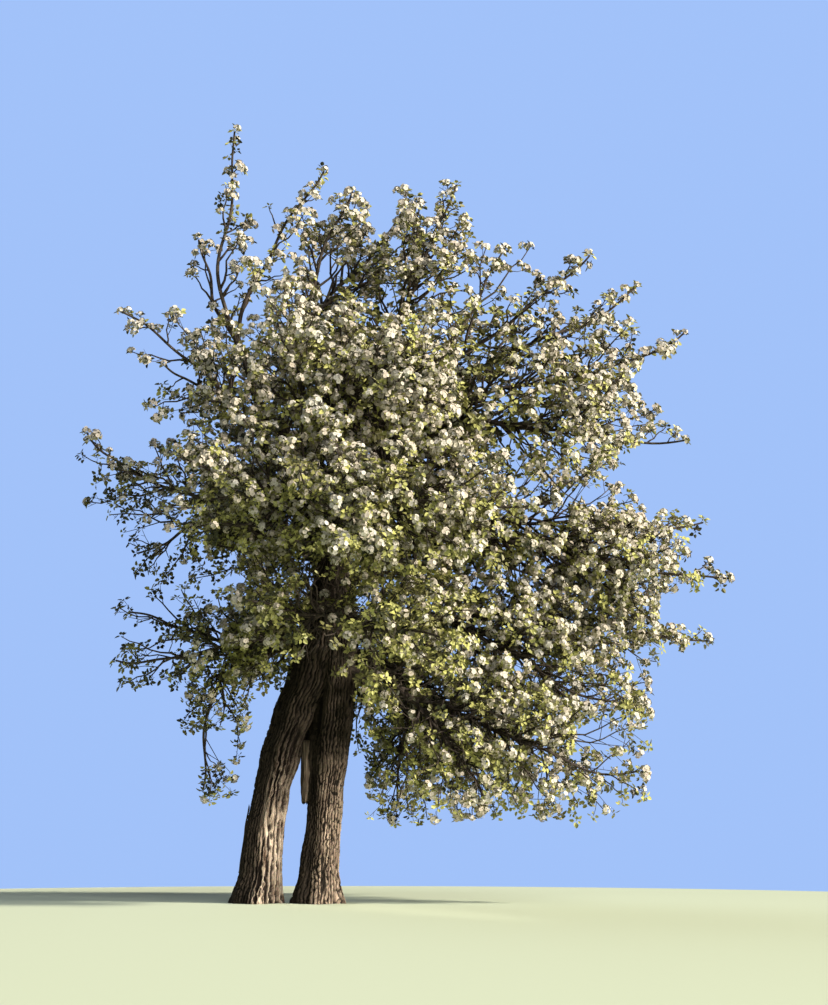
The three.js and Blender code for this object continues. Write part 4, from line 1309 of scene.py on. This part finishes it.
def flowers_of(chosen):
    """The middle and facing of each flower of the chosen sprays' heads: spaced by the golden
    angle over a cap of a sphere, at even steps of the cap's area."""
    k = np.tile(np.arange(FLOWERS_IN_HEAD), len(chosen))
    own = np.repeat(chosen, FLOWERS_IN_HEAD)
    seed = sprays.seed[own] * 3.1 + k * 2.21
    axis = sprays.way[own]
    across, over = frames_round(axis)
    share = (k + 0.5) / FLOWERS_IN_HEAD
    polar = np.arccos(1 - share * (1 - math.cos(HEAD_OPENING))) + 0.18 * (chance(seed) - 0.5)
    turn = GOLDEN_ANGLE * k + 2 * np.pi * chance(sprays.seed[own] + 0.9)
    out = across * np.cos(turn)[:, None] + over * np.sin(turn)[:, None]
    facing = axis * np.cos(polar)[:, None] + out * np.sin(polar)[:, None]
    size = 0.82 + 0.42 * chance(sprays.seed[own] + 0.15)
    reach = HEAD_RADIUS * size * (0.80 + 0.36 * chance(seed + 0.3))
    middle = sprays.place[own] + axis * HEAD_LIFT + facing * reach[:, None]
    tilt = np.stack([chance(seed + j) - 0.5 for j in (0.41, 0.52, 0.63)], axis=-1)
    return own, middle, unit(facing + FLOWER_TILT * tilt), size


def separate_triangles(first, second, third):
    """Triangles from arrays of their three corners, none shared."""
    corners = np.stack([first, second, third], axis=-2).reshape(-1, 3)
    return corners, np.arange(len(corners)).reshape(-1, 3)


def petals_on(middle, facing, size):
    """Five petals to a flower, each one face from the middle out to a broad edge, a little
    askew, raised by the cup and nearly touching the next."""
    across, over = frames_round(facing)
    start = 2 * np.pi * chance(size * 91 + middle[:, 0] * 77)
    turn = start[:, None, None] + (np.arange(PETALS) * 2 * np.pi / PETALS)[None, :, None]
    out = across[:, None] * np.cos(turn) + over[:, None] * np.sin(turn)
    aside = np.cross(facing[:, None], out) * PETAL_HALF_WIDTH
    radius = (FLOWER_RADIUS * size)[:, None, None]
    lift = facing[:, None] * PETAL_CUP
    root = middle[:, None] + 0 * out
    left = root + radius * (out + aside + lift)
    right = root + radius * (0.93 * out - aside + 0.5 * lift)
    return separate_triangles(root, right, left)


def eyes_on(middle, facing):
    """The anthers as a small triangle just over the middle of each flower."""
    across, over = frames_round(facing)
    raised = middle + facing * EYE_LIFT
    turns = np.arange(3) * 2 * np.pi / 3
    eye = [raised + EYE_RADIUS * (across * np.cos(t) + over * np.sin(t)) for t in turns]
    return separate_triangles(*eye)


def stalks_to(foot, middle):
    """A slim triangle from the spur's tip to the back of each flower."""
    side = unit(np.cross(middle - foot, UP)) * STALK_HALF_WIDTH
    return separate_triangles(foot - side, foot + side, middle)


blooming = np.flatnonzero(sprays.blooms)
own, middle, facing, size = flowers_of(blooming)
blossom_tint = np.clip(np.floor(chance(sprays.seed[own] + 0.33) * 3), 0, 2).astype(int)
foot = sprays.place[own]
small_parts = [
    ("blossom_eyes", eyes_on(middle, facing), plain_material("anthers", EYE_COLOUR, 0.8)),
    ("blossom_stalks", stalks_to(foot, middle), plain_material("stalks", STALK_COLOUR, 0.6)),
]
petal_parts = []
for number, (tint_name, colour) in enumerate(BLOSSOM_TINTS.items()):
    here = blossom_tint == number
    petals = petals_on(middle[here], facing[here], size[here])
    petal_parts.append((tint_name, petals, plain_material(tint_name, colour, 0.7)))
for part_name, (corners, faces), material in petal_parts + small_parts:
    blossom_piece = mesh_piece(part_name, corners, faces, material)
    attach(blossom_piece, "root")
    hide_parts(*mass_nodes)
